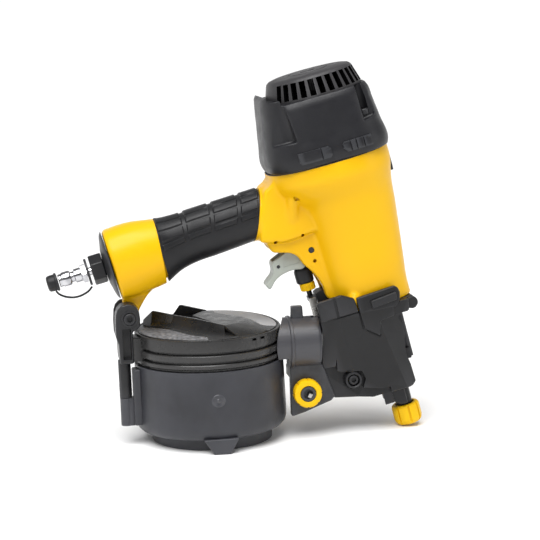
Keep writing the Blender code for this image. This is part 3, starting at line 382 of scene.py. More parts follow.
def round_corners(outline, radius):
    """Turns each corner of an outline into a short curve, which takes under half of each side."""
    steps = 4
    rounded = []
    count = len(outline)
    for index, corner in enumerate(outline):
        corner = Vector(corner)
        before = Vector(outline[index - 1]) - corner
        after = Vector(outline[(index + 1) % count]) - corner
        reach = min(radius, before.length * 0.45, after.length * 0.45)
        start = corner + before.normalized() * reach
        end = corner + after.normalized() * reach
        for step in range(steps + 1):
            t = step / steps
            rounded.append(tuple(start * (1 - t) ** 2 + corner * 2 * t * (1 - t) + end * t ** 2))
    return rounded


def even_angles(count):
    return np.linspace(0.0, tau, count, endpoint=False)


def superellipse(half_x, half_y, power, angles):
    """Points round an oval; a power over 2 squares it up."""
    c, s = np.cos(angles), np.sin(angles)
    return list(zip(half_x * np.sign(c) * np.abs(c) ** (2.0 / power),
                    half_y * np.sign(s) * np.abs(s) ** (2.0 / power)))


def through(rows, count):
    """Resamples rows of numbers by their first column, on a smooth curve through them (cubic Hermite)."""
    rows = np.array(rows, float)
    key = rows[:, 0]
    slopes = np.gradient(rows, key, axis=0)
    out = []
    for value in np.linspace(key[0], key[-1], count):
        k = min(max(int(np.searchsorted(key, value)) - 1, 0), len(key) - 2)
        gap = key[k + 1] - key[k]
        t = (value - key[k]) / gap
        out.append((2 * t ** 3 - 3 * t ** 2 + 1) * rows[k] + (t ** 3 - 2 * t ** 2 + t) * gap * slopes[k]
                   + (3 * t ** 2 - 2 * t ** 3) * rows[k + 1] + (t ** 3 - t ** 2) * gap * slopes[k + 1])
    return out


def loft(rings, place, name="loft"):
    work = bmesh.new()
    rows = [[work.verts.new(point) for point in ring] for ring in rings]
    count = len(rows[0])
    for lower, upper in zip(rows, rows[1:]):
        for k in range(count):
            after = (k + 1) % count
            work.faces.new((lower[k], lower[after], upper[after], upper[k]))
    work.faces.new(rows[0])
    work.faces.new(rows[-1])
    return add(name, work, place)


def settle(made):
    """Applies the modifiers and drops them."""
    depsgraph = bpy.context.evaluated_depsgraph_get()
    mesh = bpy.data.meshes.new_from_object(made.evaluated_get(depsgraph))
    made.modifiers.clear()
    made.data = mesh
    return made


def carve(made, tools, operation="DIFFERENCE"):
    """Cuts or joins tools, one after another, and removes them."""
    for tool in tools:
        modifier = made.modifiers.new("carve", "BOOLEAN")
        modifier.operation = operation
        modifier.solver = "MANIFOLD"
        modifier.object = tool
    settle(made)
    for tool in tools:
        bpy.data.objects.remove(tool)
    return made


def join(made, tools):
    return carve(made, tools, "UNION")


def bevel(made, width, segments=3, angle=30.0):
    modifier = made.modifiers.new("bevel", "BEVEL")
    modifier.width = width
    modifier.segments = segments
    modifier.limit_method = "ANGLE"
    modifier.angle_limit = radians(angle)
    return settle(made)


def melt(made, voxel, steps):
    """Blends joined shapes into one cast skin: voxel remesh, then smoothing."""
    remesh = made.modifiers.new("remesh", "REMESH")
    remesh.mode = "VOXEL"
    remesh.voxel_size = voxel
    remesh.use_smooth_shade = True
    soften = made.modifiers.new("soften", "SMOOTH")
    soften.factor = 0.5
    soften.iterations = steps
    return settle(made)


SHARP_ANGLE = 40.0
EVEN_SHADING_LIMIT = 40000     # meshes with more faces than this are fine enough to shade evenly


def finished(made, name, finish, body, replaces=()):
    """Moves the shape into metres, names and paints it, and hangs it on its body."""
    made.data.transform(made.matrix_world)
    made.matrix_world = Matrix.Identity(4)
    made.name = name
    made.data.materials.clear()
    made.data.materials.append(finish)
    made.data.polygons.foreach_set("material_index", [0] * len(made.data.polygons))
    made.data.shade_smooth()
    made.data.set_sharp_from_angle(angle=radians(SHARP_ANGLE))
    if len(made.data.polygons) < EVEN_SHADING_LIMIT:
        even = made.modifiers.new("even_shading", "WEIGHTED_NORMAL")
        even.keep_sharp = True
    if replaces:
        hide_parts(*replaces)
    if body:
        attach(made, body)
    return made


FACET_AREA = 9.0 * MM * MM
FACET_ANGLE = radians(3.0)


def keep_facets(made):
    """Keeps the edge between two large flat faces crisp, even at an angle of a few degrees."""
    mesh = made.data
    work = bmesh.new()
    work.from_mesh(mesh)
    for edge in work.edges:
        if len(edge.link_faces) == 2 and edge.calc_face_angle() > FACET_ANGLE:
            if min(face.calc_area() for face in edge.link_faces) > FACET_AREA:
                edge.smooth = False
    work.to_mesh(mesh)
    work.free()


# Body housing

BARREL_ROWS = [(90, -3.5, 30, 22.8), (104, -4.5, 31, 24.5), (120, -4, 32, 27), (146, -2.8, 33.5, 29.5),
               (165, -2.5, 35, 32.5), (178, -4, 37.4, 35.2), (187, -8.2, 43, 39.6), (193, -9.6, 45.7, 42.2),
               (208, -9.8, 46, 42.5)]
HANDLE_ROWS = [(0.4, 0, 24.6, 23.6, 0), (1.6, 0, 25.8, 24.8, 0), (5, 0, 26.2, 25.2, 0),
               (20, 0, 26.4, 25.4, 0), (37, -0.6, 24.1, 23.7, 0)]
SLEEVE_ROWS = [(37.3, -0.6, 24.1, 23.7, 0), (43, 0.2, 22, 21.6, 0), (53, 1.4, 20.1, 19.8, 0.1),
               (63, 2.4, 19.5, 19.2, 0.15), (82, 2.8, 19.2, 19.2, 0.25), (113, 3.7, 18.6, 19.6, 0.35)]
CORE_ROWS = [(30, -0.6, 20.6, 20.3, 0), (37, -0.6, 20.6, 20.3, 0), (53, 1.4, 16.9, 16.6, 0.1),
             (82, 2.8, 16, 16, 0.25), (113.5, 3.7, 15.4, 16.4, 0.35), (126, 3.9, 15.4, 16.6, 0.35)]
UPPER_WEB = [(-20, 203), (-54, 203), (-58, 199), (-63, 197.4), (-70, 177), (-75.4, 161.3), (-70.9, 159.6),
             (-55, 156), (-20, 160)]
TRIGGER_WEB = [(-20, 168), (-66, 168), (-75, 162), (-70.9, 159.6), (-69.7, 155.4), (-68.1, 150.7),
               (-55.3, 146.9), (-50.7, 143.1), (-48, 135.6), (-43.8, 129.7), (-40.1, 122.8), (-38.1, 115.4),
               (-37.6, 106.6), (-34, 103), (-20, 103)]
LUG = [(-62.3, 112), (-62, 92.5), (-60.5, 89.5), (-57, 88.6), (-53, 91.5), (-50.4, 98.2), (-44.8, 107.3),
       (-36, 117), (-45, 122), (-58, 122)]
GRIP_ROOM = [(37.1, 0, 30, 30, 0.09), (75, 2.8, 26, 26, 0.24), (113.2, 3.7, 26, 26, 0.39)]
HANDLE_POWER = 2.3
HOUSING_TOP = 206.0
HOUSING_BOTTOM = 92.0
WEB_HALF = 15.0
WEB_HOLES = [(-64.2, 158.3), (-43.6, 157.8), (-39.4, 136.3)]
TRIGGER_PIVOT = (-39.8, 0.0, 144.8)
BRACKET_BOLT = (-58.8, 0.0, 94.5)
CAP_SCREWS = [(-42, -27), (-42, 27), (22, -27), (22, 27)]
DEFLECTOR_X = -6.0


def barrel_loft(rows, steps, power, sides=120, grow=0.0, name="barrel_loft"):
    """A skin round the barrel from rows of (height, centre, half length, half width)."""
    angles = even_angles(sides)
    rings = [[(centre + x, y, height) for x, y in superellipse(half_x + grow, half_y + grow, power, angles)]
             for height, centre, half_x, half_y in through(rows, steps)]
    return loft(rings, BARREL, name)


def handle_ring(row, grow=0.0):
    distance, centre, half_z, half_y, lean = row
    oval = superellipse(half_z + grow, half_y + grow, HANDLE_POWER, even_angles(96))
    return [(distance + lean * z, -y, centre + z) for z, y in oval]


def handle_loft(rows, steps, grow=0.0):
    """A skin round the handle from rows of (distance, centre, half height, half width, lean)."""
    return loft([handle_ring(row, grow) for row in through(rows, steps)], HANDLE)


def capsule(start, end, radius, place, name="capsule"):
    """A rod with round ends between two points."""
    start = Vector(start)
    end = Vector(end)
    reach = (end - start).length
    quarter = [pi / 2 * k / 8 for k in range(9)]
    profile = [(radius * sin(angle), -radius * cos(angle)) for angle in quarter]
    profile += [(radius * cos(angle), reach + radius * sin(angle)) for angle in quarter]
    profile[0] = (0.0, -radius)
    profile[-1] = (0.0, reach + radius)
    made = turned(name, profile, place, sides=32)
    spin = (end - start).to_track_quat("Z", "Y").to_matrix().to_4x4()
    made.data.transform(Matrix.Translation(start) @ spin)
    return made


def housing_bores():
    bores = [rod(22.8, 110.0, (0, 0, 166.7), BARREL), rod(29.0, 60.0, (0, 0, 198.0), BARREL),
             rod(34.0, 30.0, (-5.0, 0, 207.5), BARREL), rod(8.0, 60.0, (0, 0, 100.0), BARREL),
             rod(11.0, 40.0, (10.0, 0, 0), HANDLE, "X"), rod(10.0, 130.0, (91.0, 0, 3.0), HANDLE, "X"),
             rod(5.6, 40.0, (-57.0, 0, 162.0), BARREL), rod(2.8, 20.0, BRACKET_BOLT, STANCE, "Y"),
             rod(2.3, 40.0, TRIGGER_PIVOT, BARREL, "Y"),
             block((-74.0, -8.3, 100.0), (-35.0, 8.3, 156.0), BARREL)]
    bores += [rod(2.3, 30.0, (x, y, 200.0), BARREL) for x, y in CAP_SCREWS]
    for side in (-WEB_HALF, WEB_HALF):
        bores += [rod(1.4, 16.0, (x, side, z), BARREL, "Y", sides=24) for x, z in WEB_HOLES]
    return bores


def housing_shell():
    shell = barrel_loft(BARREL_ROWS, 60, 2.5, name="housing_shell")
    upper = bevel(prism(round_corners(UPPER_WEB, 5.0), -20.0, 20.0, BARREL), 6.0, 4)
    web = bevel(prism(round_corners(TRIGGER_WEB, 2.0), -WEB_HALF, WEB_HALF, BARREL), 1.6)
    bell = handle_loft(HANDLE_ROWS, 30)
    grip_room = handle_loft(SLEEVE_ROWS + [(150, 4, 16.5, 18, 0.35)], 60)
    lug = bevel(prism(round_corners(LUG, 2.0), -6.0, 6.0, STANCE), 1.2, 2)
    ribs = [capsule((-47.0, side * 17.5, 173.0), (-44.5, side * 21.0, 186.5), 4.6, BARREL)
            for side in (-1, 1)]
    nub = capsule((-17.5, -20.0, 98.0), (-19.5, -23.0, 101.5), 4.8, BARREL)
    join(shell, [bell, grip_room, upper, web, lug, *ribs, nub])
    melt(shell, 1.15, 9)
    room = loft([handle_ring(row) for row in GRIP_ROOM], HANDLE)
    carve(room, [handle_loft(CORE_ROWS, 40)])
    carve(shell, [room, block((-120, -80, HOUSING_TOP), (80, 80, 240), BARREL),
                  block((-33.5, -80, 60), (60, 80, HOUSING_BOTTOM), BARREL), *housing_bores()])
    finished(shell, "housing_shell", PAINT, "tool", ["body_housing"])


housing_shell()


# Handle grip

PAD_COLUMNS = [(39.6, 56.2), (59.2, 76), (79.2, 96.2), (99.4, 111.8)]
PAD_ROWS = [(4, 15), (20.5, 37), (42.5, 60), (65.5, 95)]
PAD_HEIGHT = 1.0
GRIP_GAP = 0.3


def soft_window(value, low, high, soft):
    """1 between low and high and 0 outside, with a slope of the soft width at each end."""
    rise = min(max((value - low) / soft + 0.5, 0.0), 1.0)
    fall = min(max((high - value) / soft + 0.5, 0.0), 1.0)
    return rise * fall


def pad_height(distance, angle):
    """How far the grip's moulded pads stand out, from the distance along and the angle up from level."""
    along = max(soft_window(distance, low, high, 0.6) for low, high in PAD_COLUMNS)
    around = max(soft_window(angle, low, high, 1.7) for low, high in PAD_ROWS)
    return PAD_HEIGHT * along * around


def grip_sleeve():
    # the half with the pads gets more points than the plain half
    padded = np.linspace(-0.5, 0.5, 180) * pi
    plain = pi + np.linspace(-0.5, 0.5, 42)[1:-1] * pi
    angles = np.concatenate([padded, plain])
    rings = []
    for distance, centre, half_z, half_y, lean in through(SLEEVE_ROWS, 190):
        ring = []
        for z, y in superellipse(half_z - 0.4, half_y - 0.4, HANDLE_POWER, angles):
            angle = degrees(atan2(z, abs(y)))
            grow = 1.0 + (pad_height(distance, angle) / half_z)
            ring.append((distance + lean * z * grow, -y * grow, centre + z * grow))
        rings.append(ring)
    sleeve = loft(rings, HANDLE, "grip_sleeve")
    carve(sleeve, [handle_loft(CORE_ROWS, 40, GRIP_GAP)])
    finished(sleeve, "grip_sleeve", RUBBER, "tool", ["handle_grip"])


grip_sleeve()


# Top cap

CAP_POWER = 3.3
CAP_ROWS = [(206.9, -9.3, 45.4, 42.6), (209, -9.3, 46.2, 43.5), (228, -9.4, 44.7, 42.6),
            (243, -9.1, 42.5, 41.2), (252, -8.8, 41.1, 39.9), (255, -8.7, 39.5, 38.4)]
COLLAR_ROWS = [(243, -9.1, 42.5, 41.2), (255, -8.5, 41.2, 40.2), (263.6, -8.1, 39.9, 39.6)]
REAR_FLUTE = [(-31, -52), (-33, -38), (-34, -35), (-36.6, -33.8), (-41, -33), (-45.5, -31.2), (-49, -29.6),
              (-54, -29), (-54, -52)]
RECESS_ROWS = [(228, -9.4, 44.7, 42.6), (243, -9.1, 42.5, 41.2), (255, -8.6, 41, 40), (270, -7.9, 39, 39.2)]
FRONT_FACE = [(5.2, 255.5), (15.7, 243.8), (18.4, 240), (19.4, 228), (27.7, 229.7), (31, 254), (36, 275),
              (5.2, 275)]
FRONT_FLUTE = [(18.4, 275), (18.6, 229), (28.2, 230.5), (32.5, 275)]
PAD_LEFT = [(-35.2, 212.6), (-33.6, 211), (-12.8, 211), (-11.2, 212.6), (-11.2, 217.8), (-12.8, 219.4),
            (-35.2, 219.4)]
PAD_RIGHT = [(-2, 214.4), (0.8, 211.5), (20, 211.5), (20, 219.2), (-0.6, 219.2), (-2, 217.8)]
PAD_GROOVES = [-18.4, 3.6, 8.0, 13.8]
COLLAR_REAR = [(-60, 257), (-48.9, 258.9), (-47.4, 261.2), (-45, 262.5), (-45, 275), (-60, 275)]
COLLAR_NOTCH = [(-45.2, 270), (-44.4, 259.2), (-30, 258.4), (-30, 270)]
SEAT_GROOVE = [(37.2, 258), (37.2, 254), (32.4, 254), (32.4, 258)]


def plan_tool(plan, low, high, shift=0.0):
    """A tool from a plan outline, moved along X by the shift at its top."""
    return loft([[(x, y, low) for x, y in plan], [(x + shift, y, high) for x, y in plan]], BARREL)


def mirrored(plan):
    return [(x, -y) for x, y in reversed(plan)]


def cap_pads(side):
    """The two moulded pads on one side, standing just off the cap's skin."""
    pads = barrel_loft(CAP_ROWS, 40, CAP_POWER, grow=1.7)
    low, high = (-60.0, -25.0) if side < 0 else (25.0, 60.0)
    outline = join(prism(PAD_LEFT, low, high, BARREL), [prism(PAD_RIGHT, low, high, BARREL)])
    carve(pads, [outline], "INTERSECT")
    carve(pads, [block((x - 0.35, low, 200.0), (x + 0.35, high, 230.0), BARREL) for x in PAD_GROOVES])
    return bevel(pads, 0.45, 2)


def cap_cover():
    cap = barrel_loft(CAP_ROWS, 50, CAP_POWER, 160, name="cap_cover")
    collar = barrel_loft(COLLAR_ROWS, 14, CAP_POWER, 160)
    carve(collar, [prism(COLLAR_REAR, -60.0, 60.0, BARREL),
                   rod(37.8, 40.0, (DEFLECTOR_X, 0.0, 260.0), BARREL, sides=96),
                   block((-36.4, -60.0, 200.0), (60.0, 60.0, 300.0), BARREL),
                   prism(COLLAR_NOTCH, -60.0, 60.0, BARREL)])
    join(cap, [collar])
    cuts = [plan_tool(REAR_FLUTE, 227.6, 275.0, -2.6), plan_tool(mirrored(REAR_FLUTE), 227.6, 275.0, -2.6)]
    for outline, depth in ((FRONT_FACE, 40.2), (FRONT_FLUTE, 30.4)):
        cuts += [prism(outline, -60.0, -depth, BARREL), prism(outline, depth, 60.0, BARREL)]
    carve(cap, cuts)
    melt(cap, 0.75, 4)
    join(cap, [cap_pads(-1), cap_pads(1)])
    cuts = [block((-120, -80, 190), (80, 80, 206.9), BARREL),
            rod(33.5, 28.0, (-5.0, 0, 212.0), BARREL), rod(23.0, 14.0, (0, 0, 230.0), BARREL),
            rod(9.0, 40.0, (-4.0, 0, 246.0), BARREL), rod(27.0, 20.0, (DEFLECTOR_X, 0, 256.0), BARREL),
            turned("deflector_seat", SEAT_GROOVE, BARREL, (DEFLECTOR_X, 0, 0))]
    for x, y in CAP_SCREWS:
        recess = rod(4.6, 60.0, (x, y, 262.0), BARREL)
        cuts += [rod(2.6, 60.0, (x, y, 220.0), BARREL),
                 carve(recess, [barrel_loft(RECESS_ROWS, 14, CAP_POWER, grow=-1.8)], "INTERSECT")]
    carve(cap, cuts)
    finished(cap, "cap_cover", CAP_PLASTIC, "tool", ["top_cap"])


cap_cover()


# Exhaust deflector

DEFLECTOR_BASE = 255.3
DEFLECTOR_PROFILE = [(5.2, 15.6), (6, 16.3), (13.4, 16.3), (14, 15.7), (14.8, 15.7), (15.4, 16.2), (27, 15.9),
                     (30.4, 15.1), (31.9, 13.9), (32.6, 12.6), (36.4, 0.8), (36.6, -0.3), (36.5, -0.9),
                     (33.2, -0.9), (30, 11), (28, 12.8), (2.6, 12.8), (2.6, 13.3), (5.2, 13.3)]
SLOT_OUTLINE = [(26, 0.9), (44, 0.9), (44, 13.7), (26, 12.2)]
SLOTS = 12


def from_base(points):
    return [(radius, DEFLECTOR_BASE + height) for radius, height in points]


def blacken_inside(cover):
    """Paints shade on the faces behind the slots: a near-black finish with no sheen, standing in for the shadow
    inside the deflector.
    """
    cover.data.materials.append(SLOT_SHADE_PAINT)
    axis = (BARREL.to_3x3() @ Vector((0.0, 0.0, 1.0))).normalized()
    middle = BARREL @ Vector((DEFLECTOR_X, 0.0, DEFLECTOR_BASE))
    for face in cover.data.polygons:
        away = face.center - middle
        height = away.dot(axis)
        radius = (away - axis * height).length
        skin = (36.6 - 4.0 * (height / MM) / 12.6) * MM
        # faces inside the skin and below the top get the painted shade
        if radius < skin - 1.2 * MM and height < 13.1 * MM:
            face.material_index = 1


def deflector_cover():
    cover = turned("deflector_cover", from_base(DEFLECTOR_PROFILE), BARREL, (DEFLECTOR_X, 0, 0), sides=180)
    slots = []
    for index in range(SLOTS):
        angle = -144.0 + 124.0 * index / (SLOTS - 1)
        slot = prism(round_corners(from_base(SLOT_OUTLINE), 0.8), -2.2, 2.2, Matrix.Identity(4))
        slot.matrix_world = (BARREL @ Matrix.Translation((DEFLECTOR_X, 0.0, 0.0))
                             @ Matrix.Rotation(radians(angle), 4, "Z"))
        slots.append(slot)
    carve(cover, slots)
    bevel(cover, 0.3, 2, 50.0)
    finished(cover, "deflector_cover", DEFLECTOR_PLASTIC, "exhaust_deflector", ["exhaust_deflector"])
    blacken_inside(cover)


deflector_cover()


# Magazine lid

LID_TOP = [(0, 82.8), (26, 82.6), (44, 81.9), (51.4, 81.2)]
LID_RIM = [(51.8, 80.4), (52.4, 80.4), (52.8, 81), (53.6, 81.1), (54.3, 80.7), (54.6, 79.8), (54.7, 72.4),
           (54.3, 71.9), (52.6, 71.6), (52.6, 70.6), (54.4, 70.2), (55.1, 69.4), (55.1, 65.8), (54.5, 65),
           (52.6, 64.6), (52.6, 63.5), (54.5, 63.2), (55.1, 62.5), (55.1, 60.3), (54.5, 59.7), (52.8, 59.4),
           (52.8, 58), (51.5, 58), (51.5, 78), (0, 80)]
LID_TILT = 0.05
FIN_BASE = [(-47.5, 19.5, 81.6), (-42, 10, 82), (-29.4, -2.5, 82.5), (-13, -33, 82), (8, -47, 81.2)]
FIN_RIDGE = [(-46.2, 20.8, 86), (-39.8, 12, 93.8), (-24, 6, 90.4), (-10.4, -12, 90.1), (8.8, -30, 87.2)]
PLATEAU = [(-9, 18, 87.4), (0.9, 36, 86.9), (26, 18, 84.4), (32.5, -5, 85.5), (8.8, -30, 87),
           (4.5, -22, 87.4)]
FACET_FOOT = [(37.7, -15, 83.4), (41.4, -30, 81.6), (31, -41.5, 80.9), (17, -48, 80.9)]
FAR_FIN = [(-20.5, 42, 81), (-16.4, 40, 92), (2.6, 38, 87), (8, 38, 82), (-19, 45, 81), (-14.8, 43, 91.6),
           (4, 41, 86.6), (9, 41, 82), (-25, 39, 81)]
LABEL_PLAN = [(-60, 2), (-45, 7.5), (-40.5, 3.5), (-31.5, -5.5), (-16, -35.5), (-5.5, -45), (-5, -60),
              (-60, -60)]
PANEL_PLAN = [(10.5, 60), (10.5, 38), (29, 19), (35, -4), (41, -15), (60, -17), (60, 60)]


def hull(points, place):
    work = bmesh.new()
    for point in points:
        work.verts.new(point)
    bmesh.ops.convex_hull(work, input=work.verts)
    loose = [vert for vert in work.verts if not vert.link_faces]
    bmesh.ops.delete(work, geom=loose, context="VERTS")
    return add("hull", work, place)


def raise_back(made):
    """Tilts the lid's upper surface: its far half rises towards the back."""
    for vert in made.data.vertices:
        if vert.co.z > 79.0 and vert.co.y > 0.0:
            vert.co.z += LID_TILT * vert.co.y


def near_fin():
    """The lid's long curved fin: a ridge that leans back over a hollow front."""
    rings = []
    for base, ridge in zip(FIN_BASE, FIN_RIDGE):
        base = Vector(base)
        ridge = Vector(ridge)
        height = ridge.z - base.z
        middle = base * 0.45 + ridge * 0.55 - Vector((0.0, 0.0, height * 0.22))
        lower = base * 0.8 + ridge * 0.2 - Vector((0.0, 0.0, height * 0.1))
        back = ridge + Vector((1.5, 2.2, -0.2))
        rings.append([base - Vector((0.0, 0.0, 1.5)), base, lower, middle, ridge, back,
                      Vector((back.x + 0.8, back.y + 0.8, 81.0)), Vector((back.x, back.y, 80.0))])
    return loft(rings, STANCE)


def lid_skin(plan, lift, reach, name):
    """A thin plate following the lid's top, cut to a plan outline."""
    upper = [(radius, height + lift) for radius, height in LID_TOP[:-1]] + [(reach, LID_TOP[-1][1] + lift)]
    lower = [(radius, height - 0.4) for radius, height in reversed(upper)]
    skin = turned(name, upper + lower, STANCE, sides=180)
    raise_back(skin)
    return carve(skin, [prism(plan, 70.0, 100.0, STANCE, "Z")], "INTERSECT")


def magazine_lid():
    lid = turned("magazine_lid", LID_TOP + LID_RIM, STANCE, sides=180)
    raise_back(lid)
    hood = hull(PLATEAU + FACET_FOOT + [(x, y, 80.6) for x, y, _ in PLATEAU[:4]], STANCE)
    fins = [near_fin(), hull(FAR_FIN, STANCE), hood]
    for fin in fins:
        bevel(fin, 0.5, 2, 25.0)
    pad = bevel(block((-57.8, -18.5, 62.0), (-45.0, -2.0, 80.0), STANCE), 1.0, 2)
    join(lid, [*fins, pad])
    cuts = [rod(51.8, 21.0, (0, 0, 67.0), STANCE, sides=120),
            block((40.0, -4.4, 52.7), (60.0, 8.0, 76.0), STANCE)]
    for angle, width in ((-58.5, 3.6), (-50.0, 4.4)):
        notch = block((52.4, -width / 2, 77.6), (60.0, width / 2, 79.4), STANCE)
        notch.matrix_world = STANCE @ Matrix.Rotation(radians(angle), 4, "Z")
        cuts.append(notch)
    carve(lid, cuts)
    finished(lid, "magazine_lid", LID_PLASTIC, "tool", ["magazine_top"])
    label = lid_skin(LABEL_PLAN, 0.3, 50.6, "lid_label")
    finished(label, "lid_label", LABEL, "tool")
    panel = lid_skin(PANEL_PLAN, 0.25, 51.2, "lid_panel")
    finished(panel, "lid_panel", LID_GREY, "tool")


magazine_lid()


# Canister

CUP_OUTSIDE = [(53.4, 57.7), (55.4, 57.7), (55.6, 57.3), (55.8, 50), (56.2, 30), (56.5, 16), (56.3, 13),
               (55.2, 10), (53.4, 8), (51.8, 7.2), (45.4, 7), (45, 6.2), (45, -4.5), (41, -4.5), (41, 6.8),
               (9, 6.8), (9, 10.2), (50, 10.2), (53, 13.2)]
CUP_TAB = [(-12.5, 9), (-4, -4), (6, -4), (13.3, 9)]
GATE_PROFILE = [(0, 0.7), (1, 0.65), (1.6, 0.1), (2.6, 0.1), (3.2, 0.45), (4, 0.5), (4.6, 0.2), (5.4, -0.5),
                (0, -0.5)]
GATE_ANGLE = -90.5


def canister_shell():
    cup = turned("canister_shell", CUP_OUTSIDE, STANCE, sides=180)
    tab = bevel(prism(CUP_TAB, -57.6, -42.0, STANCE), 1.0)
    hx, hy, _ = CUP_HINGE
    ear = bevel(block((-58.6, hy - 6.5, 14.0), (-52.5, hy + 6.5, 56.0), STANCE), 1.2)
    arm = block((hx - 1.0, hy - 4.0, 14.0), (-55.0, hy + 4.0, 34.6), STANCE)
    knuckle = rod(4.5, 20.6, CUP_HINGE, STANCE)
    join(cup, [tab, ear, arm, knuckle])
    ground = block((-120.0, -90.0, -30.0), (80.0, 90.0, 0.0), Matrix.Scale(MM, 4))     # in the world's frame
    carve(cup, [rod(53.4, 44.0, (0, 0, 38.0), STANCE, sides=120), rod(2.3, 60.0, (hx, hy, 30.0), STANCE),
                ground])
    finished(cup, "canister_shell", CUP_PLASTIC, "canister", ["canister_cup"])
    mark = turned("gate_mark", GATE_PROFILE, STANCE, (56.0, 0.0, 37.0), "X", 64)
    mark.matrix_world = STANCE @ Matrix.Rotation(radians(GATE_ANGLE), 4, "Z")
    finished(mark, "gate_mark", GATE_PLASTIC, "canister", ["canister_cup"])


canister_shell()


# Nose

NOSE = [(-48.4, 93.6), (-48.6, 86.6), (-50.6, 76), (-55, 59.6), (-54.6, 52), (-53.6, 36), (-52.6, 33),
        (-34, 28), (-24, 24.7), (7.8, 24), (11.2, 26), (10.6, 40), (9.2, 48), (10.2, 58), (12.4, 64),
        (12.4, 72), (10.2, 76.3), (13.8, 81), (18, 83), (19, 91.7), (-20, 91.7), (-20, 93.6)]
LEFT_CHEEK = [(-48.6, 92.9), (-48.2, 107.4), (-46.5, 108.2), (-29.2, 108.6), (-20.4, 103.6), (-19.6, 92.9)]
RIGHT_CHEEK = [(-18.9, 91), (-18.9, 103.2), (10.9, 104.2), (13.2, 102.2), (14, 98.2), (12.4, 92.2),
               (8.4, 88.6)]
RIGHT_FALL = [(-18.9, 92), (-18.1, 79.1), (-8.1, 70.3), (-5.2, 81), (5.6, 82.2), (8.6, 92)]
CHEEK_PAD = [(-9.3, 92.6), (-9.3, 98.4), (10.6, 100), (10.4, 93.9)]
LOWER_STEP = [(-62, 57.2), (-45.8, 56.4), (-43.8, 62), (-45.2, 52.6), (-42.6, 51), (-28, 47.8), (-26.2, 41),
              (-29.6, 34.6), (-15.2, 29.4), (-9.6, 29), (-9.6, 12), (-60, 12)]
# a black block between the depth wheel and the nose, standing in for the shadow there: painted shade, no part of
# the tool
SHADE_BLOCK = [(-44.4, 90), (-44.4, 110.5), (-41.5, 112), (-33, 112), (-33, 90)]
NOSE_SCREW = (-35.6, 42.6)
NOSE_SIDE = -28.2      # y of the casting's side at the height NOSE_TOP
NOSE_TOP = 93.0
NOSE_SLANT = 0.11      # radians; the side leans inwards towards the tip
WEDGE = [(-33.7, -29.1), (-33.7, -32), (-60, -32), (-60, -23.4)]
FRONT_FACET = [(-6.6, -28.6), (-5, -26), (16, -11.6), (16, -34), (-6.6, -34)]
SIDE_GROOVE = [(-17.2, 76.6), (-8.6, 69), (-6.9, 70.6), (-15.2, 78.2)]
LEVEL_SEAM = [(-49, 92), (-49, 92.8), (-19.4, 92.8), (-19.4, 92)]
UPRIGHT_SEAM = [(-19.7, 78.6), (-19, 78.6), (-19, 94), (-19.7, 94)]
CHEEK_GROOVE = [(-36.4, 92), (-36, 112), (-33.8, 112), (-34.2, 92)]
BOSS_PROFILE = [(4.6, 6.2), (5.2, 6.6), (6, 6.4), (6.6, 5.4), (7.4, 0), (4.6, 0)]
DOOR_HINGE = (15.5, 8.0)
ARM_SLOT = [(-53, 93), (-53, 84), (-17, 46), (-17, 20), (-6, 20), (-6, 56), (-43.5, 95), (-43.5, 110),
            (-53, 110)]


def nose_side_frame(shift=0.0):
    """A frame on the casting's slanted side, with its origin at the top of the side."""
    return (BARREL @ Matrix.Translation((0.0, NOSE_SIDE - shift, NOSE_TOP))
            @ Matrix.Rotation(NOSE_SLANT, 4, "X"))


def slanted_away(made, shift=0.0):
    """Trims a nose plate to the casting's side, or to a plane further out by the shift."""
    tool = block((-90.0, -80.0, -90.0), (60.0, 0.0, 60.0), BARREL)
    tool.matrix_world = nose_side_frame(shift)
    return carve(made, [tool])


def side_cut(outline, depth):
    """A cut into the casting's side from outside, as deep as the y given."""
    return prism(outline, -34.0, depth, BARREL)


def nose_plates():
    """What is joined to the casting: flange, cheeks, screw boss, foot collar and door ears."""
    flange = bevel(block((-33.0, -22.5, 84.5), (19.0, 22.5, 91.7), BARREL), 1.0)
    plug = bevel(rod(4.6, 30.0, (22.2, -7.0, 86.4), BARREL, "Y"), 1.0)
    arm = bevel(block((16.0, -20.0, 84.4), (24.0, 8.0, 91.6), BARREL), 1.0)
    left = bevel(prism(LEFT_CHEEK, -29.5, -25.5, BARREL), 1.1)
    carve(left, [prism(CHEEK_GROOVE, -30.0, -29.1, BARREL)])
    right = bevel(prism(RIGHT_CHEEK, -29.5, -25.5, BARREL), 1.1)
    fall = bevel(slanted_away(side_cut(RIGHT_FALL, -20.0), 1.2), 0.8)
    pad = bevel(prism(CHEEK_PAD, -31.6, -28.0, BARREL), 0.9)
    collar = bevel(block((-12.5, -10.0, 24.3), (11.0, 9.8, 37.4), BARREL), 1.5)
    boss = turned("screw_boss", BOSS_PROFILE, BARREL, (NOSE_SCREW[0], -17.4, NOSE_SCREW[1]), "-Y")
    # painted shade: a black block filling the shadow under the depth wheel
    shade_block = bevel(prism(SHADE_BLOCK, -8.0, 6.0, BARREL), 0.6, 2)
    plates = [shade_block, flange, arm, plug, left, right, fall, pad, collar, boss]
    for height in (72.0, 44.0):
        plates += [rod(3.0, 8.0, (*DOOR_HINGE, height), BARREL),
                   block((8.0, 1.0, height - 4.0), (*DOOR_HINGE, height + 4.0), BARREL)]
    return plates


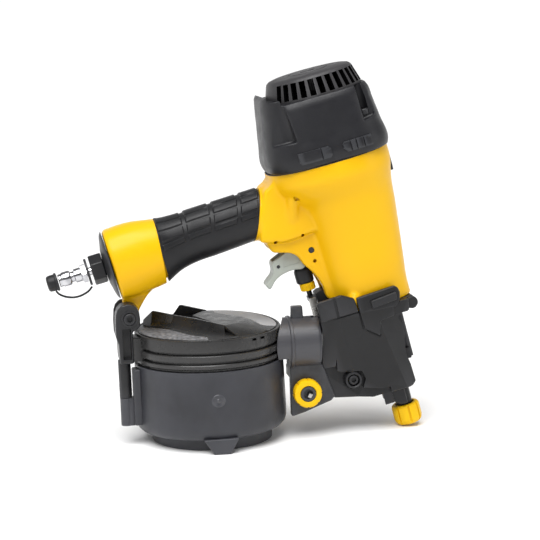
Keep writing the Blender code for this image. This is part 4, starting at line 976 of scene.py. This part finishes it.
def nose_casting():
    nose = bevel(slanted_away(prism(NOSE, -31.0, 4.2, BARREL, name="nose_casting")), 0.9)
    wedge = prism(WEDGE, 50.0, 92.6, BARREL, "Z")
    wedge.matrix_world = nose_side_frame() @ Matrix.Translation((0.0, 29.0, -NOSE_TOP))
    carve(nose, [wedge, plan_tool(FRONT_FACET, 20.0, 82.4), side_cut(LOWER_STEP, -18.6),
                 side_cut(SIDE_GROOVE, -25.0), side_cut(LEVEL_SEAM, -27.2), side_cut(UPRIGHT_SEAM, -26.0)])
    join(nose, nose_plates())
    carve(nose, [block((-60.0, -4.2, 36.0), (4.2, 12.0, 82.0), BARREL), rod(4.2, 120.0, (0, 0, 60.0), BARREL),
                 rod(7.8, 30.0, (1.0, 0, 19.0), BARREL),
                 capsule((-3.2, 0.0, 18.0), (-3.2, 0.0, 30.0), 6.6, BARREL),
                 prism(ARM_SLOT, -14.0, -9.6, BARREL),
                 block((-16.2, -12.4, 20.0), (4.0, -3.2, 30.8), BARREL),
                 rod(2.4, 30.0, (NOSE_SCREW[0], -12.0, NOSE_SCREW[1]), BARREL, "Y"),
                 rod(4.3, 6.0, (NOSE_SCREW[0], -23.3, NOSE_SCREW[1]), BARREL, "Y"),
                 rod(1.8, 60.0, (*DOOR_HINGE, 58.0), BARREL)])
    keep_facets(finished(nose, "nose_casting", BLACK_CAST, "tool", ["nosepiece"]))


nose_casting()


# Contact arm and foot

ARM = [(-51, 95), (-51, 84.6), (-15.2, 47), (-15.2, 14), (-8.2, 14), (-8.2, 50), (-45.5, 88.6), (-45.5, 95)]
STRIP = [(-51, 95.3), (-45.5, 95.3), (-45.5, 109.3), (-50.2, 109.3), (-51, 107.5)]
FLARE = [(-15, 22.5), (-15, 17), (-9, 14.5), (-4, 10.5), (2, 9.5), (2, 22.5)]
TIP = [(8.6, 8), (9.6, 7.6), (10.3, 6.8), (10.7, 5.6), (10.7, -3.2), (10.2, -5.2), (9.2, -6.7), (7.6, -7.7),
       (4.6, -7.7), (4.4, -7.4), (4.4, 3), (7.3, 3), (7.3, 8)]
SPARE = [(9, 4.3), (10, 3.9), (10.6, 2.8), (10.6, -2.8), (10, -4), (9, -4.3), (6.4, -4.3), (6, -3.9),
         (6, 3.9), (6.4, 4.3)]
TIP_FLUTES = 8


def contact_foot():
    foot = capsule((0.8, 0.0, 10.0), (0.8, 0.0, 18.5), 6.3, BARREL, "foot_elbow")
    join(foot, [rod(6.2, 9.0, (0.8, 0.0, 7.8), BARREL),
                capsule((-3.5, 0.0, 21.5), (0.8, 0.0, 18.2), 5.6, BARREL)])
    melt(foot, 0.5, 6)
    join(foot, [bevel(prism(FLARE, -10.6, -4.4, BARREL), 1.2)])
    carve(foot, [rod(4.2, 60.0, (0, 0, 13.0), BARREL),
                 block((-30.0, -20.0, -10.0), (30.0, 20.0, 3.5), BARREL)])
    finished(foot, "foot_elbow", BLACK_STEEL, "contact_trip_group", ["contact_trip"])


def contact_link():
    link = bevel(prism(ARM, -12.6, -11.0, BARREL, name="contact_link"), 0.3, 2)
    finished(link, "contact_link", BLACK_STEEL, "contact_trip_group", ["contact_arm"])
    strip = bevel(prism(STRIP, -12.6, -11.0, BARREL), 0.3, 2)
    yoke = join(block((-50.2, -10.9, 105.6), (-45.0, 2.6, 109.3), BARREL),
                [rod(2.0, 12.6, (WHEEL_AT[0], 0.0, 113.3), BARREL)])
    bevel(yoke, 0.4, 2)
    finished(yoke, "link_yoke", BLACK_STEEL, "contact_trip_group", ["contact_arm"])
    finished(strip, "link_strip", STEEL, "contact_trip_group", ["contact_arm"])


def tip_ring(name, at, place, axis, profile, body, node):
    """A no-mar tip, cut by radial grooves round its outside."""
    tip = turned(name, profile, place, at, axis, 144)
    flutes = []
    for index in range(TIP_FLUTES):
        flute = block((profile[0][0] + 0.9, -0.7, -30.0), (20.0, 0.7, 30.0), place)
        turn = Matrix.Rotation(tau * index / TIP_FLUTES, 4, "Z")
        flute.data.transform(Matrix.Translation(at) @ AXIS_TURN[axis] @ turn)
        flutes.append(flute)
    carve(tip, flutes)
    bevel(tip, 0.25, 2, 50.0)
    finished(tip, name, YELLOW_PLASTIC, body, [node])


contact_foot()
contact_link()
tip_ring("tip_muzzle", (1.0, 0, 0), BARREL, "Z", TIP, "contact_trip_group", "no_mar_tip")
tip_ring("tip_spare", (69.3, -26.6, 31.3), STANCE, "Y", SPARE, "spare_tip", "spare_tip")


# Feed neck

FEED_AT = (63.5, -10.0, 66.5)
POST_AT = (69.3, 31.3)
NECK_PROFILE = [(0, 18), (18.2, 18), (19.3, 17.6), (19.7, 16.4), (19.5, 15), (19.5, -18), (0, -18)]
NECK_BEAD = [(20.6, 0.9), (20.6, -0.9), (18, -2), (18, 2)]
TIP_PLATE = [(57.6, 52), (57.6, 13), (59.5, 13.2), (68, 15.6), (88, 23), (91, 26), (84, 46.5), (81.5, 52)]
NECK_TAB = [(61, 80), (61.6, 94.6), (70, 94.6), (70.6, 80)]


def feed_neck():
    neck = turned("feed_neck", NECK_PROFILE, STANCE, FEED_AT, "X", 144)
    plate = bevel(prism(TIP_PLATE, -22.0, -13.0, STANCE), 1.2)
    wall = bevel(block((58.5, -16.0, 40.0), (81.5, 4.4, 52.0), STANCE), 0.8, 2)
    post = rod(5.6, 10.0, (POST_AT[0], -25.8, POST_AT[1]), STANCE, "Y")
    tab = bevel(prism(NECK_TAB, -14.0, -8.0, STANCE), 1.0)
    bead = turned("neck_bead", NECK_BEAD, STANCE, (59.5, -10.0, 66.5), "X", 144)
    spigot = block((77.0, -9.4, 49.0), (84.5, -4.4, 83.0), STANCE)
    join(neck, [spigot, plate, wall, post, tab, bead])
    cup_path = rod(122.2, 60.0, (CUP_HINGE[0], CUP_HINGE[1], 28.0), STANCE, sides=256)
    carve(neck, [cup_path, rod(55.9, 60.0, (0, 0, 87.7), STANCE, sides=160),
                 block((40.0, 4.5, 0.0), (100.0, 40.0, 100.0), STANCE),
                 block((40.0, -4.2, 48.0), (100.0, 10.0, 84.0), STANCE),
                 rod(8.3, 40.0, (79.4, -17.0, 66.5), STANCE, "X"),
                 block((64.5, -14.0, 60.9), (90.0, 0.0, 72.1), STANCE),
                 prism(ARM_SLOT, -14.0, -9.6, BARREL),
                 rod(3.6, 8.0, (POST_AT[0], -31.0, POST_AT[1]), STANCE, "Y")])
    finished(neck, "feed_neck", NECK_CAST, "tool", ["feed_housing"])
    clip = bevel(block((-1.6, -30.6, -1.8), (1.6, -26.6, 1.8), STANCE), 0.5, 2)
    clip.matrix_world = (STANCE @ Matrix.Translation((POST_AT[0] + 1.5, 0.0, POST_AT[1] - 1.4))
                         @ Matrix.Rotation(0.5, 4, "Y"))
    finished(clip, "post_clip", STEEL, "tool", ["feed_housing"])


feed_neck()


# Trigger

TRIGGER = [(-78.7, 127.1), (-76.9, 123.8), (-75, 124.1), (-70.8, 128.8), (-65.2, 131.6), (-58.5, 132.8),
           (-52.8, 132.4), (-48.7, 131.2), (-45.5, 133.5), (-42.5, 139), (-37, 141), (-36, 146), (-38, 149),
           (-43, 149.5), (-49, 149.8), (-55.9, 148.2), (-70.2, 142.5), (-70.6, 135.5), (-72.2, 132.8),
           (-76.9, 129.3)]
TRIGGER_DISH = [(-63, 136.8), (-50, 136.8), (-46, 146.6), (-58, 145.2)]


def trigger_lever():
    lever = bevel(prism(round_corners(TRIGGER, 2.2), -7.5, 7.5, BARREL, name="trigger_lever"), 1.5, 4)
    cuts = [block((-69.0, -5.7, 133.6), (-56.0, 5.7, 160.0), BARREL),
            block((-56.5, -5.7, 120.0), (-30.0, 5.7, 160.0), BARREL),
            rod(2.3, 30.0, TRIGGER_PIVOT, BARREL, "Y"), rod(1.4, 30.0, (-65.9, 0, 138.3), BARREL, "Y")]
    cuts += [prism(round_corners(TRIGGER_DISH, 2.0), low, low + 1.0, BARREL) for low in (-8.0, 7.0)]
    carve(lever, cuts)
    finished(lever, "trigger_lever", GREY_PLASTIC, "trigger_group", ["trigger"])


trigger_lever()


# Inlet

DOME = [(5.5, 5), (12.6, 4.6), (15, 4), (20.8, 2.8), (23.6, 2), (25.2, 1), (25.6, 0.3), (10.7, 0.3),
        (10.7, -6), (5.5, -6)]
NIPPLE = [(4.3, 39.7), (4.8, 39.2), (4.9, 37.2), (5.5, 36.4), (5.6, 31.6), (5, 30.6), (4, 30.2), (3.9, 28.4),
          (4.3, 27.8), (5.2, 27.4), (5.3, 22.8), (6, 22.3), (7, 22), (7.2, 21.4), (7.2, 19.2), (6.9, 18.7),
          (3.1, 18.7), (3.1, 8), (2.4, 8), (2.4, 39.7)]
DUST_CAP = [(0, 48.6), (3.6, 48.6), (5.2, 48.1), (5.9, 47.2), (6.1, 45), (6, 42.4), (6.7, 42), (6.9, 41.4),
            (6.7, 40.8), (6, 40.4), (0, 40.4)]
INLET_AT = (0.0, 0.0, 0.0)


def inlet():
    dome = turned("inlet_dome", DOME, HANDLE, INLET_AT, "-X", 144)
    finished(dome, "inlet_dome", CAP_PLASTIC, "tool", ["handle_end_cap"])
    nut = bevel(rod(11.4, 9.6, (-9.9, 0, 0), HANDLE, "X", sides=6), 0.9, 4)
    nut.data.transform(Matrix.Rotation(radians(30.0), 4, "X"))
    join(nut, [rod(5.2, 12.0, (-1.0, 0, 0), HANDLE, "X")])
    carve(nut, [rod(3.4, 40.0, (-5.0, 0, 0), HANDLE, "X")])
    finished(nut, "inlet_nut", BLACK_STEEL, "tool", ["inlet_bushing"])
    nipple = turned("hose_nipple", NIPPLE, HANDLE, INLET_AT, "-X", 96)
    flats = []
    for index in range(6):
        flat = block((-22.2, -8.0, 6.35), (-18.0, 8.0, 9.0), HANDLE)
        flat.data.transform(Matrix.Rotation(radians(60.0 * index), 4, "X"))
        flats.append(flat)
    carve(nipple, flats)
    finished(nipple, "hose_nipple", CHROME, "tool", ["air_fitting"])
    cap = turned("nipple_cap", DUST_CAP, HANDLE, INLET_AT, "-X", 96)
    finished(cap, "nipple_cap", RUBBER, "dust_cap", ["dust_cap"])


inlet()


# Rear bracket

BRACKET = [(-69.3, 90.1), (-68.7, 97.6), (-67.4, 101.4), (-64.6, 104.4), (-59.6, 105.4), (-54.8, 104.2),
           (-51.6, 99.8), (-51, 94), (-51.2, 88), (-53.2, 86.5), (-57, 84.6), (-57, 61), (-67.2, 61),
           (-67.6, 75.7), (-69.3, 81)]
BRACKET_LEG = [(-68.4, 62), (-67.8, 36), (-59.4, 36), (-59.4, 62)]


def rear_fork():
    hx, hy, _ = CUP_HINGE
    bolt_x, _, bolt_z = BRACKET_BOLT
    fork = bevel(prism(BRACKET, -20.0, 10.5, STANCE, name="rear_fork"), 1.3, 4)
    knuckle = rod(4.6, 28.0, (hx, hy, 49.0), STANCE)
    leg = bevel(prism(BRACKET_LEG, -14.4, -9.6, STANCE), 0.8)
    boss = rod(5.9, 2.0, (bolt_x, -19.7, bolt_z), STANCE, "Y")
    join(fork, [knuckle, leg, boss])
    carve(fork, [block((-75.0, -6.4, 83.0), (-45.0, 6.4, 110.0), STANCE),
                 rod(2.8, 50.0, BRACKET_BOLT, STANCE, "Y"),
                 rod(4.8, 2.0, (bolt_x, -20.9, bolt_z), STANCE, "Y"),
                 bevel(block((-64.8, -30.0, 64.2), (-58.4, -13.5, 87.2), STANCE), 0.8, 2),
                 rod(2.3, 60.0, (hx, hy, 32.0), STANCE)])
    finished(fork, "rear_fork", FORK_CAST, "tool", ["rear_bracket"])


rear_fork()


# Depth wheel

WHEEL = [(5.3, 119.5), (5.8, 119), (5.8, 114.4), (5.3, 113.9), (2.4, 113.9), (2.4, 119.5)]
WHEEL_NOTCHES = 14


def wheel():
    x, _, z = WHEEL_AT
    made = turned("wheel_knurled", WHEEL, BARREL, (x, 0, 0), sides=96)
    notches = []
    for index in range(WHEEL_NOTCHES):
        angle = tau * index / WHEEL_NOTCHES
        notches.append(rod(0.8, 12.0, (x + 6.1 * cos(angle), 6.1 * sin(angle), z), BARREL, sides=12))
    carve(made, notches)
    finished(made, "wheel_knurled", YELLOW_PLASTIC, "depth_wheel", ["depth_wheel"])


wheel()


# Adjuster above the wheel, flattened to pass between the trigger's sides

def adjuster():
    outline = superellipse(6.7, 5.1, 2.6, even_angles(96))
    rings = []
    for grow, height in ((0.9, 120.0), (1.0, 120.8), (1.0, 129.2), (0.88, 130.8), (0.72, 131.7)):
        rings.append([(-48.3 + x * grow, y * grow, height) for x, y in outline])
    made = loft(rings, BARREL, "adjuster_sleeve")
    finished(made, "adjuster_sleeve", BLACK_STEEL, "contact_trip_group", ["trip_adjuster"])


adjuster()


# Plain pad on the barrel's front

def front_pad():
    pad = bevel(block((34.0, -9.0, 184.5), (36.4, 9.0, 196.5), BARREL), 0.7)
    finished(pad, "front_pad", CAP_PLASTIC, "tool", ["body_housing"])


front_pad()


# Dust cap strap, curving between the handle and the cap

STRAP_ROUTE = [(-17.8, -11.2), (-20, -12.9), (-23, -14.3), (-28, -15.2), (-33, -14.8), (-38, -12.8),
               (-41.5, -10.2), (-43.2, -7.9), (-43.6, -6.3)]
STRAP_HALF_WIDTH = 1.5
STRAP_HALF_THICKNESS = 0.75


def cap_strap():
    rings = []
    rows = through([(index, x, z) for index, (x, z) in enumerate(STRAP_ROUTE)], 64)
    side = Vector((0.0, 1.0, 0.0)) * STRAP_HALF_WIDTH
    for index, row in enumerate(rows):
        after = rows[min(index + 1, len(rows) - 1)]
        before = rows[max(index - 1, 0)]
        along = Vector((after[1] - before[1], 0.0, after[2] - before[2])).normalized()
        out = along.cross(Vector((0.0, 1.0, 0.0))) * STRAP_HALF_THICKNESS
        middle = Vector((row[1], 0.0, row[2]))
        rings.append([middle + side * cos(tau * k / 20) + out * sin(tau * k / 20) for k in range(20)])
    strap = loft(rings, HANDLE, "cap_strap")
    finished(strap, "cap_strap", RUBBER, None, ["dust_cap_strap"])
    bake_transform(strap)


cap_strap()
